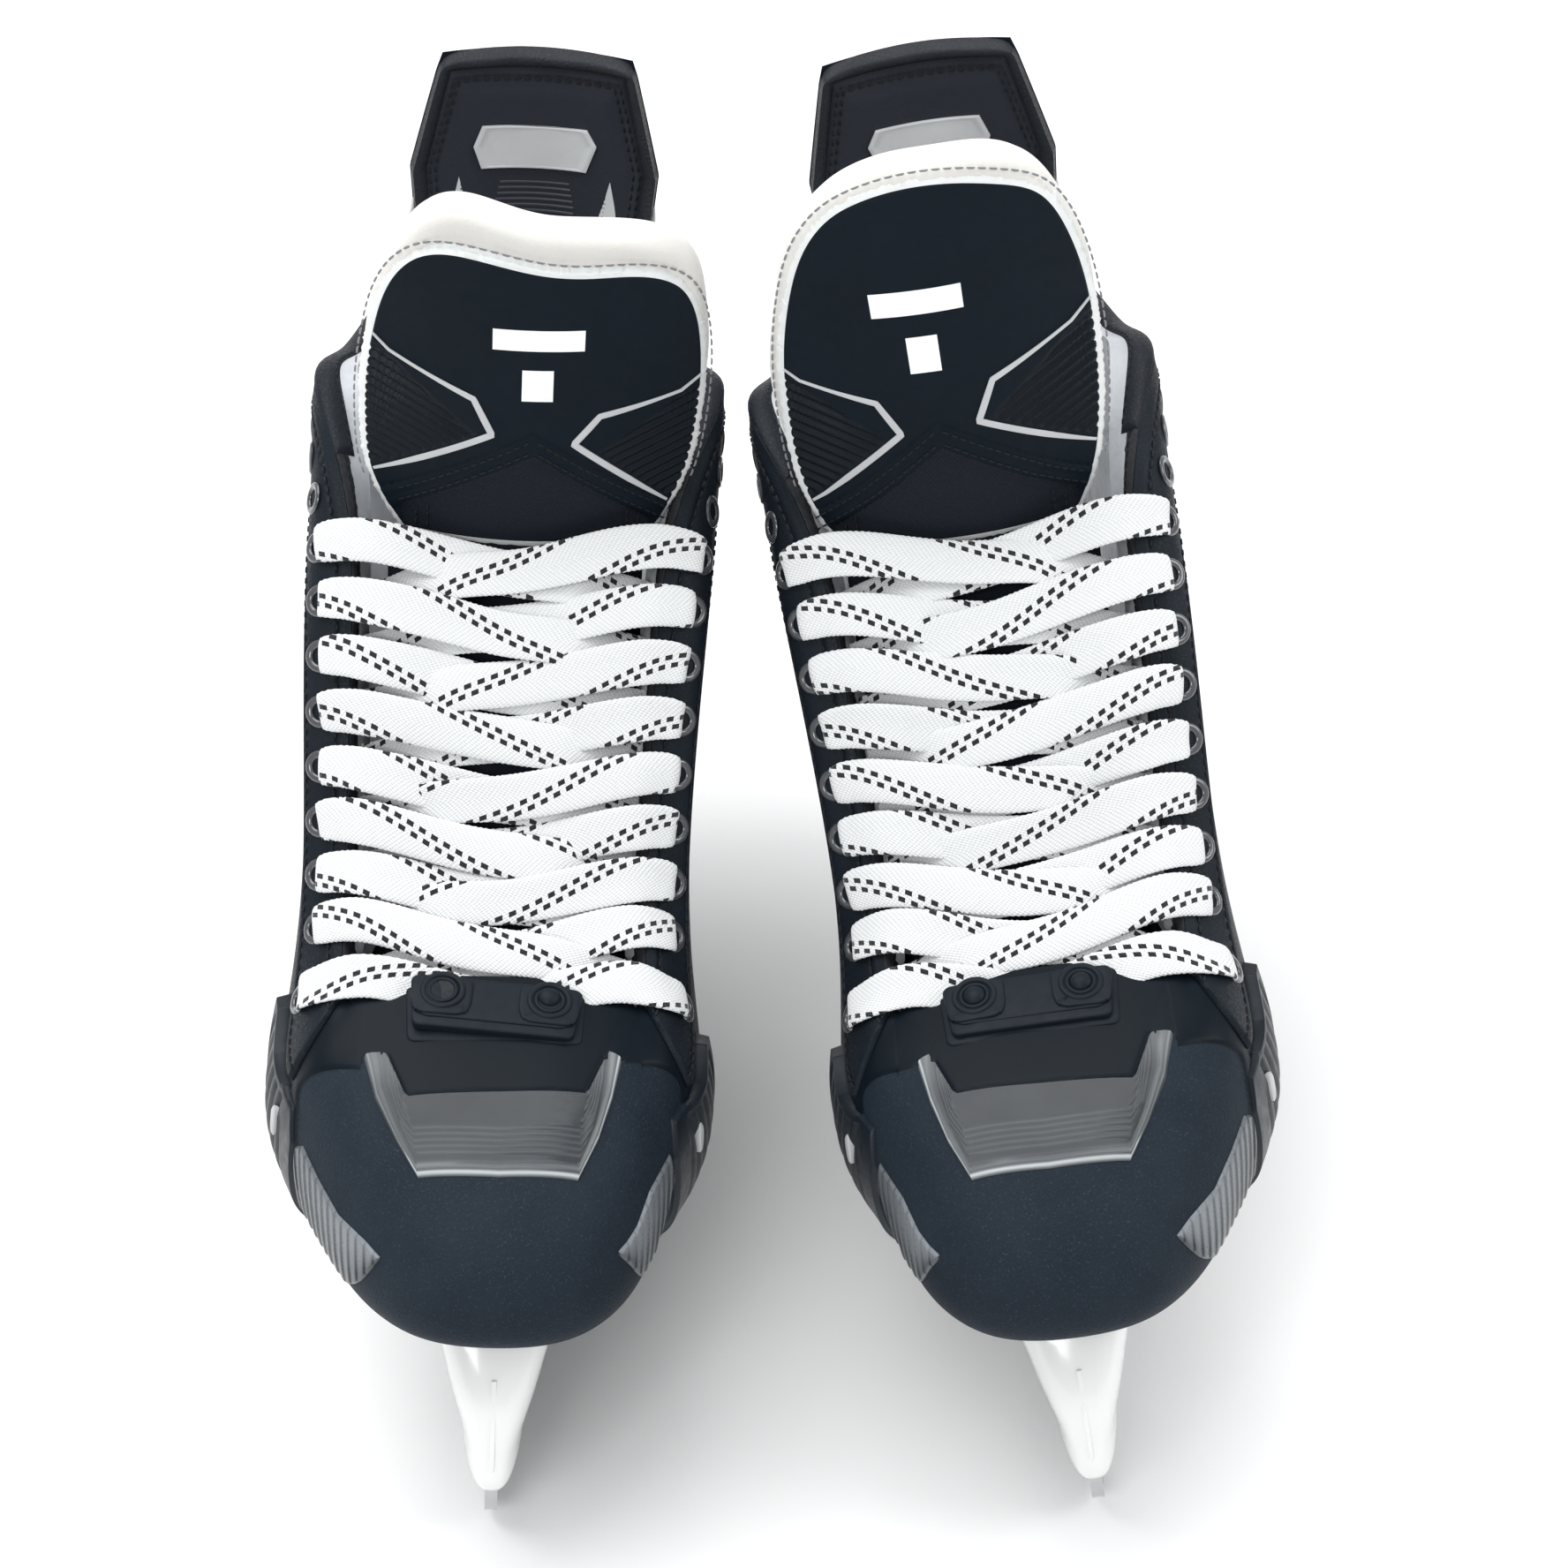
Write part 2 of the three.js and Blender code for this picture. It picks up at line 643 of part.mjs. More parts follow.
    // over the edge of the eyestay
    const o = add(r.mid, mul(r.mn, over));
    return o;
  };
  const centre = (i, d) => {
    const mid = mix(M[i].edge, N[i].edge, 0.5);
    const u = up(i);
    const n = unit(cross([1, 0, 0], u));
    const f = n[2] > 0 ? n : mul(n, -1);
    return [add(mid, mul(f, d)), f];
  };
  for (let i = 0; i < LACED_ROWS; i++) {
    const u = up(i);
    if (i === 0) {
      const [c] = centre(0, 4.4);
      joinLace(
        ribbon(
          [
            add(N[0].eye, mul(N[0].n, over)),
            rim(N[0]),
            [c[0], c[1] - 1, c[2]],
            rim(M[0]),
            add(M[0].eye, mul(M[0].n, over)),
          ],
          u,
        ),
      );
    } else
      for (const [P, Q, high] of [
        [N, M, i % 2],
        [M, N, 1 - (i % 2)],
      ]) {
        const from = P[i - 1],
          to = Q[i];
        const [c0] = centre(i - 1, high ? 5.6 : 3.4),
          [c1] = centre(i, high ? 5.6 : 3.4);
        const inside = [
          Math.sign(from.edge[0]) * (Math.abs(from.edge[0]) - 7),
          from.edge[1],
          from.edge[2],
        ];
        const [, f] = centre(i - 1, 0);
        joinLace(
          ribbon(
            [
              add(inside, mul(f, -1.6)),
              mix(c0, c1, 0.5),
              rim(to),
              add(to.eye, mul(to.n, over)),
            ],
            u,
          ),
        );
      }
  }
  // Where the lace turns round the edge of each eyestay.
  const TURN_TOP = 3.2;
  for (const R of [M, N])
    for (let i = 0; i < LACED_ROWS - 1; i++) {
      const [, f] = centre(i, 0);
      const sign = Math.sign(R[i].edge[0]);
      const x = Math.abs(R[i].edge[0]) - 7;
      const c = [sign * x, R[i].edge[1], R[i].edge[2]];
      joinLace(
        ribbon(
          [
            add(c, mul(f, -2.6)),
            add([sign * (x + 0.2), c[1], c[2]], mul(f, TURN_TOP)),
          ],
          up(i),
        ),
      );
    }
  for (const k of [...keepOffStay, ...keepOffEyes, keepOffShell])
    lace = lace.subtract(manifold(k));
  made.lace = fromManifold(lace);

  // Tongue: the lower part lies under the laces, the upper part stands above the top row.
  const line = spline(
    [0, 1, 2, 3, 4],
    [
      [0, -62, 121.5],
      [0, -46, 131],
      [0, -13, 171],
      [0, 6, 193],
      [0, 11, 200],
    ],
  );
  const lineOut = (v) => {
    const a = line(Math.max(0, v - 0.02)),
      b = line(Math.min(4, v + 0.02));
    const d = unit(sub(b, a));
    return [0, -d[2], d[1]];
  };
  const tongueVs = [0.0, 0.7, 1.3, 2, 2.6, 3.2, 3.75];
  const tongueXs = [-1, -0.75, -0.45, 0, 0.45, 0.75, 1];
  const baseGrid = (depth) =>
    tongueVs.map((v) =>
      tongueXs.map((k) => {
        const half = v < 0.5 ? 22 + 10 * v : TONGUE_HALF - 2.5;
        const x = k * half;
        const drop = -2.2 - 12 * Math.pow(Math.abs(x) / 36, 2.5) - depth;
        return add(add(line(v), [x, 0, 0]), mul(lineOut(v), drop));
      }),
    );
  made.tongue_base = between(baseGrid(0), baseGrid(6));

  const half = spline(
    [204, 214, 232, 250, 264, 278, 287, 291],
    [[28.5, 0, 0], [33, 0, 0], [37, 0, 0], [40, 0, 0], [41, 0, 0], [38, 0, 0], [31, 0, 0], [24, 0, 0]],
  );
  const stretch = (z) => (z < 214 ? z : 214 + (z - 214) * ((77 + tongueLift) / 77));
  const frontY = (z) => 12 - 3 * smooth((z - 204) / 40);
  const feltZs = [208, 216, 232, 250, 264, 276, 285, 290];
  const feltGrid = (d, zs = feltZs, inset = 0, bend = 74) =>
    zs.map((z) =>
      [-1, -0.8, -0.5, 0, 0.5, 0.8, 1].map((k) => {
        const x = k * (half(z)[0] - inset);
        return [
          x + 2,
          frontY(z) + (x * x) / (2 * bend) + d,
          stretch(z) + 2 * Math.cos((x / 40) * 3.1) * smooth((z - 270) / 20),
        ];
      }),
    );
  made.tongue_felt = between(feltGrid(0), feltGrid(8));
  const facingZs = [209.5, 222, 236, 250, 264, 275, 282.5];
  made.tongue_facing = between(
    feltGrid(-GAP - 1.8, facingZs, 4.5),
    feltGrid(-GAP - 0.1, facingZs, 4.5),
  );

  // Snap pegs on the toe cap and the tongue's tab over them.
  const pegX = 12.2,
    pegY = -72;
  const padGrid = (d) =>
    [-83.5, -78, -72, -67.5].map((y) =>
      [-1, -0.5, 0, 0.5, 1].map((k) => onCap(k * 21, y, d)),
    );
  let pegs = manifold(between(padGrid(1.5), padGrid(0.5)));
  for (const x of [-pegX, pegX]) {
    const z = capTop(x, pegY);
    pegs = pegs.add(manifold(rod([x, pegY, z + 1], [x, pegY, z + 5.6], 2.3, 10)));
  }
  made.snap_pegs = fromManifold(pegs);
  const tabPlate = (() => {
    const grid = (d) =>
      [-81.5, -77, -72, -68.5].map((y) =>
        [-1, -0.55, 0, 0.55, 1].map((k) =>
          onCap(k * (18.6 + (y + 81.5) * 0.12), y, d),
        ),
      );
    const raw = between(grid(4.3), grid(1.9));
    return minus(
      raw,
      ...[-pegX, pegX].map((x) => rod([x, pegY, 110], [x, pegY, 140], 2.9, 10)),
    );
  })();
  made.tongue_tab = tabPlate;

  // Tendon guard and the pad on its inner face.
  const guardHalf = spline(
    [206, 223, 237, 252, 265],
    [[30.5, 0, 0], [33.5, 0, 0], [35.5, 0, 0], [30, 0, 0], [24.5, 0, 0]],
  );
  const guardY = (z) => 146 + 3.4 * smooth((z - 208) / 45);
  const guardBend = (z) => 30 + 30 * smooth((z - 207) / 32);
  const guardGrid = (d, zs, inset = 0) =>
    zs.map((z) =>
      [-1, -0.66, -0.33, 0, 0.33, 0.66, 1].map((k) => {
        const x = k * (guardHalf(z)[0] - inset);
        return [x, guardY(z) - (x * x) / (2 * guardBend(z)) + d, z];
      }),
    );
  const guardZs = [206.6, 222, 237, 251, 265];
  made.tendon_guard = between(guardGrid(0, guardZs), guardGrid(-2.2, guardZs));
  const padZs = [207.4, 222, 237, 250, 263];
  made.tendon_pad = between(
    guardGrid(-2.7, padZs, 1),
    guardGrid(-6, padZs, 1),
  );

  // Holder: two towers on a bar, with flanges under the outsole and a groove for the runner.
  const section = (z, y0, y1, hx, n = 14) =>
    Array.from({ length: n }, (_, i) => {
      const a = (2 * Math.PI * i) / n,
        c = Math.cos(a),
        s = Math.sin(a);
      const e = 0.62;
      return [
        hx * Math.sign(c) * Math.pow(Math.abs(c), e),
        (y0 + y1) / 2 + ((y1 - y0) / 2) * Math.sign(s) * Math.pow(Math.abs(s), 0.8),
        z,
      ];
    });
  const flangeTop = soleTop - T_SOLE - GAP;
  const front = loft([
    section(19, -134, -44, 4.2),
    section(21.5, -137.5, -42, 6.4),
    section(30, -138.3, -47, 8.4),
    section(44, -136, -52, 12),
    section(52, -132.5, -52, 14.2),
    section(60.5, -125, -46, 15.9),
  ]);
  const rear = loft([
    section(19, 50, 135, 3.2),
    section(21.5, 48, 138.5, 5.2),
    section(30, 51, 139.5, 6.8),
    section(45, 56, 137.5, 9.8),
    section(58, 57, 134, 11.8),
    section(65.5, 50, 132, 13.5),
  ]);
  const bar = loft(
    [-70, 75].map((y) =>
      [
        [-3.2, 19],
        [-5.2, 21.5],
        [-5.6, 30],
        [-3.6, 32.5],
        [3.6, 32.5],
        [5.6, 30],
        [5.2, 21.5],
        [3.2, 19],
      ].map(([x, z]) => [x, y, z]),
    ),
  );
  const frontHalf = spline(
    [-120, -114, -104, -90, -70, -50, -36],
    [[9, 0, 0], [18, 0, 0], [26, 0, 0], [30.5, 0, 0], [31.5, 0, 0], [27, 0, 0], [11, 0, 0]],
  );
  const rearHalf = spline(
    [42, 55, 75, 100, 122, 135],
    [[11, 0, 0], [20.5, 0, 0], [24, 0, 0], [23.8, 0, 0], [17.5, 0, 0], [8, 0, 0]],
  );
  const frontFlange = plate(
    [-120, -115, -106, -95, -80, -60, -50, -36],
    (y) => frontHalf(y)[0],
    flangeTop,
    flangeTop - T_FLANGE,
  );
  const rearFlange = plate(
    [42, 55, 75, 100, 122, 135],
    (y) => rearHalf(y)[0],
    flangeTop,
    flangeTop - T_FLANGE,
  );
  const above = plate(
    [-150, -122.6, -120, -115, -106, -95, -80, -60, -35, -10, 20, 42, 55, 75, 100, 122, 135, 150],
    () => 40,
    flangeTop + 30,
    flangeTop,
  );
  let holder = manifold(front).add(manifold(rear)).add(manifold(bar));
  holder = holder.subtract(manifold(above));
  holder = holder.add(manifold(frontFlange)).add(manifold(rearFlange));
  const [ly, lz] = LEVER_PIVOT;
  for (const cut of [
    box(-SLOT_HALF, SLOT_HALF, -134.6, 150, 10, 27.5), // groove
    box(-SLOT_HALF, SLOT_HALF, -112, -86, 20, 41), // front hook's pocket
    box(-SLOT_HALF, SLOT_HALF, 96, 122, 20, 41), // rear tab's pocket
    rod([-30, ly, lz], [-5.4, ly, lz], 10.5, 16), // lever's recess on the lateral side
    rod([-10, ly, lz], [30, ly, lz], 2.1, 10), // pin's hole
    plateYZ(
      [
        [ly, lz],
        [ly, lz + 4.6],
        [ly - 22, lz + 4.6],
        ...range(184, 266, 6).map((d) => [
          ly + 22 * Math.cos((d * Math.PI) / 180),
          lz - 22 * Math.sin(((d - 180) * Math.PI) / 180),
        ]),
      ],
      -30,
      -5.4,
    ), // room for the thumb tab to swing
    ...holes,
  ])
    holder = holder.subtract(manifold(cut));
  made.holder = fromManifold(holder);

  // Runner, with a hook at the front and a tab at the back.
  made.runner = plateYZ(
    [
      [-132.2, 23.6], [-133, 18], [-132.8, 11], [-130, 5], [-123.5, 1.8], [-110, 0.8], [-62, 0],
      [62, 0], [112, 0.9], [126, 2.6], [133, 7], [136.5, 13], [137.5, 19], [136.5, 26],
      [119, 26.4], [118.5, 37], [106, 37], [103, 33.5], [101, 26.6],
      [-92, 26.6], [-92, 33.5], [-97, 37.6], [-107.5, 36.5], [-108, 33], [-103, 31.5], [-103, 25.6], [-118, 24.4],
    ],
    -RUNNER_THICK / 2,
    RUNNER_THICK / 2,
  );

  // Blade lock: a thumb lever on a cross pin in the rear tower.
  made.lock_lever = minus(
    union(
      rod([-8.8, ly, lz], [-5.9, ly, lz], 7.2, 16),
      box(-8.8, -6.3, ly - 20, ly, lz - 3.6, lz + 3.6),
    ),
    rod([-12, ly, lz], [-3, ly, lz], 2.1, 10),
  );
  made.lock_pin = union(
    rod([-10.2, ly, lz], [6, ly, lz], 1.7, 10),
    rod([-10.6, ly, lz], [-9.2, ly, lz], 3.4, 10),
  );

  // Rivets through flange and outsole.
  rivetAt.forEach(([x, y], i) => {
    const under = soleZ(y) + flangeTop - T_FLANGE - 0.55;
    const inside = soleZ(y) + soleTop + 0.5;
    made["rivet_" + (i + 1)] = union(
      rod([x, y, under - 1.3], [x, y, under], 3.7, 8),
      rod([x, y, under - 0.5], [x, y, inside + 0.3], 2.0, 6),
      rod([x, y, inside], [x, y, inside + 0.9], 3.5, 8),
    );
  });
  return made;
}

// ---- Materials ----
const paint = (hex, roughness, metalness = 0, extra = {}) =>
  new THREE.MeshStandardMaterial({ color: hex, roughness, metalness, ...extra });
const MATERIAL = {
  toe_cap: paint(0x1d232b, 0.75),
  boot_shell: paint(0x17191d, 0.55),
  liner: paint(0xb9bcc2, 0.7),
  outsole: paint(0x1a1a1c, 0.4),
  footbed: paint(0x2a2c30, 0.9),
  toe_window_top: paint(0x4a4f54, 0.2),
  toe_window_medial: paint(0x6a6f73, 0.3),
  toe_window_lateral: paint(0x6a6f73, 0.3),
  eyestay_medial: paint(0x16191e, 0.6),
  eyestay_lateral: paint(0x16191e, 0.6),
  eyelets_medial: paint(0x6a6c70, 0.35, 0.8),
  eyelets_lateral: paint(0x6a6c70, 0.35, 0.8),
  lace: paint(0xf1f2f2, 0.9),
  tongue_base: paint(0x10141c, 0.9),
  tongue_felt: paint(0xe9e8e1, 0.95),
  tongue_facing: paint(0x16202a, 0.6),
  tongue_tab: paint(0x24272c, 0.6),
  snap_pegs: paint(0x1c1f24, 0.5),
  tendon_guard: paint(0x191a1d, 0.5),
  tendon_pad: paint(0x2b2d35, 0.9),
  holder: paint(0xf2f3f0, 0.35),
  runner: paint(0xb8babd, 0.2, 1.0),
  lock_lever: paint(0x2c2e32, 0.45),
  lock_pin: paint(0x9a9ca0, 0.3, 0.9),
  rivet: paint(0x8a8c90, 0.35, 0.9),
};

// ---- The pair ----
const pair = new THREE.Group();
pair.position.set(...FRAME_SHIFT);
for (const [foot, st] of Object.entries(STANCE)) {
  const skate = new THREE.Group();
  const lean = THREE.MathUtils.degToRad(st.lean),
    turn = THREE.MathUtils.degToRad(st.turn);
  skate.rotation.set(0, lean, turn, "ZYX"); // lean about Y first, then turn about Z
  skate.position.set(st.x, st.y, (RUNNER_THICK / 2) * Math.abs(Math.sin(lean)));
  for (const [name, geometry] of Object.entries(parts(st.tongueLift))) {
    const g = geometry.clone();
    if (st.medial < 0) {
      // mirror the other foot
      const p = g.attributes.position;
      for (let i = 0; i < p.count; i++) p.setX(i, -p.getX(i));
      if (g.index) {
        const a = g.index.array;
        for (let i = 0; i < a.length; i += 3) [a[i + 1], a[i + 2]] = [a[i + 2], a[i + 1]];
      } else
        for (let i = 0; i < p.count; i += 3) {
          const v = [p.getX(i + 1), p.getY(i + 1), p.getZ(i + 1)];
          p.setXYZ(i + 1, p.getX(i + 2), p.getY(i + 2), p.getZ(i + 2));
          p.setXYZ(i + 2, ...v);
        }
    }
    const mesh = new THREE.Mesh(
      g,
      MATERIAL[name] ?? MATERIAL.rivet,
    );
    mesh.name = foot + "_" + name;
    skate.add(mesh);
  }
  pair.add(skate);
}

export default pair;
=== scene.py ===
"""A pair of ice hockey skates: the looks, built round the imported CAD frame."""
import json
import math

import bpy
import numpy as np
from mathutils import Matrix, Vector
from mathutils.bvhtree import BVHTree

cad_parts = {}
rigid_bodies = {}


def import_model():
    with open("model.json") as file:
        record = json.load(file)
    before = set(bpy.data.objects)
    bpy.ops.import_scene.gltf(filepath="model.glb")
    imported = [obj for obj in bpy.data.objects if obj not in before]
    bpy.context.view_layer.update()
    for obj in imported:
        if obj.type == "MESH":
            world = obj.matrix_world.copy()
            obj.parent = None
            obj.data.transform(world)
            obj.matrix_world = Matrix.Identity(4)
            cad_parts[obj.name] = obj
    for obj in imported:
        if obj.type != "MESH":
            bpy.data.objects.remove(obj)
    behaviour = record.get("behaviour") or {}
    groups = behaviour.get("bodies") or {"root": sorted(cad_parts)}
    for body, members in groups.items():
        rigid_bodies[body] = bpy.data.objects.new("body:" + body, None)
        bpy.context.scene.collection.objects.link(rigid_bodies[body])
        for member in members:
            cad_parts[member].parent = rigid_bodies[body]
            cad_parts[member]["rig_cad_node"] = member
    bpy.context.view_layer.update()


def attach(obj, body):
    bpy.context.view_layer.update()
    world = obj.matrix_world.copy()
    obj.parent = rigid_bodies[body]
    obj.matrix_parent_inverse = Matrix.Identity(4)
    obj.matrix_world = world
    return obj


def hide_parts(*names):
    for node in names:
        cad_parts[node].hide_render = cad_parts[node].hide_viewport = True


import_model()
RNG = np.random.default_rng(7)

# ---------------------------------------------------------------- the boot's surface (millimetres, one skate's own frame)
STATIONS = [
    [[0, -125, 64.5], [0, -135, 71.5], [0, -145.5, 82.5], [0, -142, 97], [0, -124, 110], [0, -66, 124]],
    [[14, -122.5, 64.3], [17, -132.5, 71.3], [18.8, -141, 82.3], [17.5, -137, 97], [15, -120, 110.2], [12, -66, 123.8]],
    [[25, -113.5, 63.6], [29.5, -121.5, 71], [31, -128, 83], [29, -124, 98], [24.5, -111, 110.8], [22, -66.5, 122.4]],
    [[32, -94, 61.8], [38, -101, 70.4], [40, -105.5, 84], [38.5, -104, 99], [33.5, -98, 111.5], [29, -68, 120.6]],
    [[38, -83, 59], [45, -83, 70], [47, -83, 85], [45, -83, 101], [40, -80.5, 113], [33, -69, 119.4]],
    [[39.5, -60, 59], [48, -60, 70.5], [50, -60, 86], [47.5, -59, 101], [42.5, -53, 116], [33.5, -46, 131]],
    [[35, -30, 60.5], [43, -30, 72], [46.5, -30, 88], [45.5, -27, 116], [43.5, -20, 153], [34.5, -13, 171]],
    [[29, 0, 63], [36, 0, 75], [40.5, 0, 93], [42.5, 2, 128], [46.5, 7, 184], [38.5, 15, 203]],
    [[26.5, 35, 65.5], [32, 35, 79], [36.5, 35, 98], [39.5, 36, 145], [49, 42, 200], [49.5, 48, 218]],
    [[28, 75, 67.5], [33, 75, 82], [36, 75, 102], [39, 76, 150], [44, 78, 190], [45.5, 80, 209]],
    [[27, 110, 69], [31.5, 110, 84], [34, 110, 104], [34, 108, 150], [36.5, 111, 188], [37.5, 113, 205]],
    [[18, 133, 70], [22, 137.5, 85], [23, 138, 104], [22, 131.5, 150], [23, 134, 186], [23.5, 136, 204]],
    [[0, 142, 70.5], [0, 148, 86], [0, 149, 104], [0, 141, 150], [0, 143, 186], [0, 145, 204]],
]


def sm(x):
    x = np.clip(x, 0.0, 1.0)
    return x * x * (3 - 2 * x)


def spline(u, v, period=0.0):
    """Cubic spline through v at u: natural, or periodic."""
    u = np.asarray(u, float)
    v = np.asarray(v, float)
    flat = v.ndim == 1
    if flat:
        v = v[:, None]
    n = len(v)
    h = np.array([(u[i + 1] - u[i]) if i < n - 1 else (period - u[-1] + u[0]) for i in range(n)])
    A = np.zeros((n, n))
    B = np.zeros_like(v)
    for i in range(n):
        if not period and i in (0, n - 1):
            A[i, i] = 1
            continue
        p, q = (i - 1) % n, (i + 1) % n
        A[i, p] += h[p]
        A[i, i] += 2 * (h[p] + h[i])
        A[i, q] += h[i]
        B[i] = 6 * ((v[q] - v[i]) / h[i] - (v[i] - v[p]) / h[p])
    M = np.linalg.solve(A, B)

    def f(x):
        x = np.asarray(x, float)
        shape = x.shape
        x = x.ravel()
        if period:
            x = np.mod(x - u[0], period) + u[0]
            i = np.clip(np.searchsorted(u, x, side="right") - 1, 0, n - 1)
        else:
            i = np.clip(np.searchsorted(u, x, side="right") - 1, 0, n - 2)
        j = (i + 1) % n
        w = h[i]
        a = ((u[i] + w - x) / w)[:, None]
        b = 1 - a
        out = v[i] * a + v[j] * b + (M[i] * (a**3 - a) + M[j] * (b**3 - b)) * (w[:, None] ** 2) / 6
        return out.reshape(shape) if flat else out.reshape(shape + (v.shape[1],))

    return f


def _fuller(p, level):
    return (3 if level == 0 else 5.2) * float(sm((p[1] + 142) / 55)) * float(sm((55 - p[1]) / 85))


ALL = [np.array(s, float) for s in STATIONS] + [
    np.array([[-(p[0] + _fuller(p, k)), p[1], p[2]] for k, p in enumerate(s)]) for s in STATIONS[1:-1][::-1]
]
_l2 = np.array([s[2] for s in ALL])
S_AT = np.concatenate([[0], np.cumsum(np.linalg.norm(np.diff(_l2, axis=0), axis=1))])
S_ROUND = S_AT[-1] + np.linalg.norm(_l2[0] - _l2[-1])
NS, NT = 960, 121


def _profile(st):
    u = np.concatenate([[0], np.cumsum(np.sqrt(np.linalg.norm(np.diff(st, axis=0), axis=1)))])
    f = spline(u, st)
    x = np.linspace(0, u[-1], 400)
    p = f(x)
    c = np.concatenate([[0], np.cumsum(np.linalg.norm(np.diff(p, axis=0), axis=1))])
    return f(np.interp(np.linspace(0, 1, NT) * c[-1], c, x))


_prof = np.array([_profile(s) for s in ALL])  # 24, NT, 3
_sv = np.arange(NS) * S_ROUND / NS
GRID = spline(S_AT, _prof.reshape(24, -1), S_ROUND)(_sv).reshape(NS, NT, 3)
_ds = np.roll(GRID, -2, axis=0) - np.roll(GRID, 2, axis=0)
_dt = np.gradient(GRID, axis=1)
NORM = np.cross(_ds, _dt)
NORM /= np.linalg.norm(NORM, axis=2, keepdims=True)
LENGTH = np.linalg.norm(np.diff(GRID, axis=1), axis=2).sum(1)


def _sample(arr, s, t):
    s, t = np.broadcast_arrays(np.asarray(s, float), np.asarray(t, float))
    a = np.mod(s / S_ROUND * NS, NS)
    b = np.clip(t, 0, 1) * (NT - 1)
    i = np.floor(a).astype(int) % NS
    j = np.minimum(np.floor(b).astype(int), NT - 2)
    fa, fb = (a - np.floor(a))[..., None], (b - j)[..., None]
    i2 = (i + 1) % NS
    return (
        arr[i, j] * (1 - fa) * (1 - fb) + arr[i2, j] * fa * (1 - fb) + arr[i, j + 1] * (1 - fa) * fb + arr[i2, j + 1] * fa * fb
    )


def normal(s, t):
    n = _sample(NORM, s, t)
    return n / np.linalg.norm(n, axis=-1, keepdims=True)


def P(s, t, d=0.0):
    """A point of the wall at s (mm round from the toe's centre) and t (0 sole to 1 top), d mm out."""
    return _sample(GRID, s, t) + normal(s, t) * np.asarray(d, float)[..., None]


def L(s):
    a = np.mod(np.asarray(s, float) / S_ROUND * NS, NS)
    i = np.floor(a).astype(int) % NS
    f = a - np.floor(a)
    return LENGTH[i] * (1 - f) + LENGTH[(i + 1) % NS] * f


def med(i):
    """s of station i on the medial side; i may be a fraction."""
    return float(np.interp(i, np.arange(len(S_AT)), S_AT))


def lat(i):
    return float(np.interp(24 - i, np.arange(25), np.append(S_AT, S_ROUND)))


_capS = np.linspace(lat(6) - S_ROUND, med(6), 200)
_capT = np.linspace(0.3, 1, 60)
_cg = P(_capS[:, None], _capT[None, :])
_cf = [
    [i * 60 + j, (i + 1) * 60 + j, (i + 1) * 60 + j + 1, i * 60 + j + 1] for i in range(199) for j in range(59)
]
_BVH = BVHTree.FromPolygons([tuple(p) for p in _cg.reshape(-1, 3)], _cf)


def drop(x, y, d=0.0):
    """Points of the cap's top straight under (x, y), d mm out along its normal."""
    x, y, d = np.broadcast_arrays(np.asarray(x, float), np.asarray(y, float), np.asarray(d, float))
    out = np.zeros(x.shape + (3,))
    for idx in np.ndindex(x.shape):
        hit, n, _, _ = _BVH.ray_cast(Vector((x[idx], y[idx], 200)), Vector((0, 0, -1)))
        if hit is None:
            hit, n = Vector((x[idx], y[idx], 118)), Vector((0, 0, 1))
        if n.z < 0:
            n = -n
        out[idx] = np.array(hit) + np.array(n) * d[idx]
    return out


SOLE_Y = [s[0][1] for s in STATIONS]
_sz = spline(SOLE_Y, [s[0][2] for s in STATIONS])
_sh = spline(SOLE_Y, [s[0][0] for s in STATIONS])
sole_z = lambda y: _sz(np.clip(y, -125, 142))
sole_half = lambda y: np.maximum(0.5, _sh(np.clip(y, -124.9, 141.9)))
lat_shift = lambda y: -1.4 * sm((y + 142) / 55) * sm((55 - y) / 85)

# ---------------------------------------------------------------- where each skate stands
SHIFT = np.array([-0.025, -0.84, 0.0])
STANCE = {
    "right": dict(at=(-77.7, 0.0), lean=5.5, turn=2.0, m=1, lift=0.0),
    "left": dict(at=(79.3, -1.3), lean=-7.9, turn=-0.3, m=-1, lift=12.0),
}


def world(k, pts):
    st = STANCE[k]
    p = np.array(pts, float).reshape(-1, 3).copy()
    p[:, 0] *= st["m"]
    a, b = math.radians(st["lean"]), math.radians(st["turn"])
    x, z = p[:, 0] * math.cos(a) + p[:, 2] * math.sin(a), -p[:, 0] * math.sin(a) + p[:, 2] * math.cos(a)
    y = p[:, 1]
    x, y = x * math.cos(b) - y * math.sin(b), x * math.sin(b) + y * math.cos(b)
    out = np.stack([x + st["at"][0], y + st["at"][1], z + 1.5 * abs(math.sin(a))], 1) + SHIFT
    return out / 1000


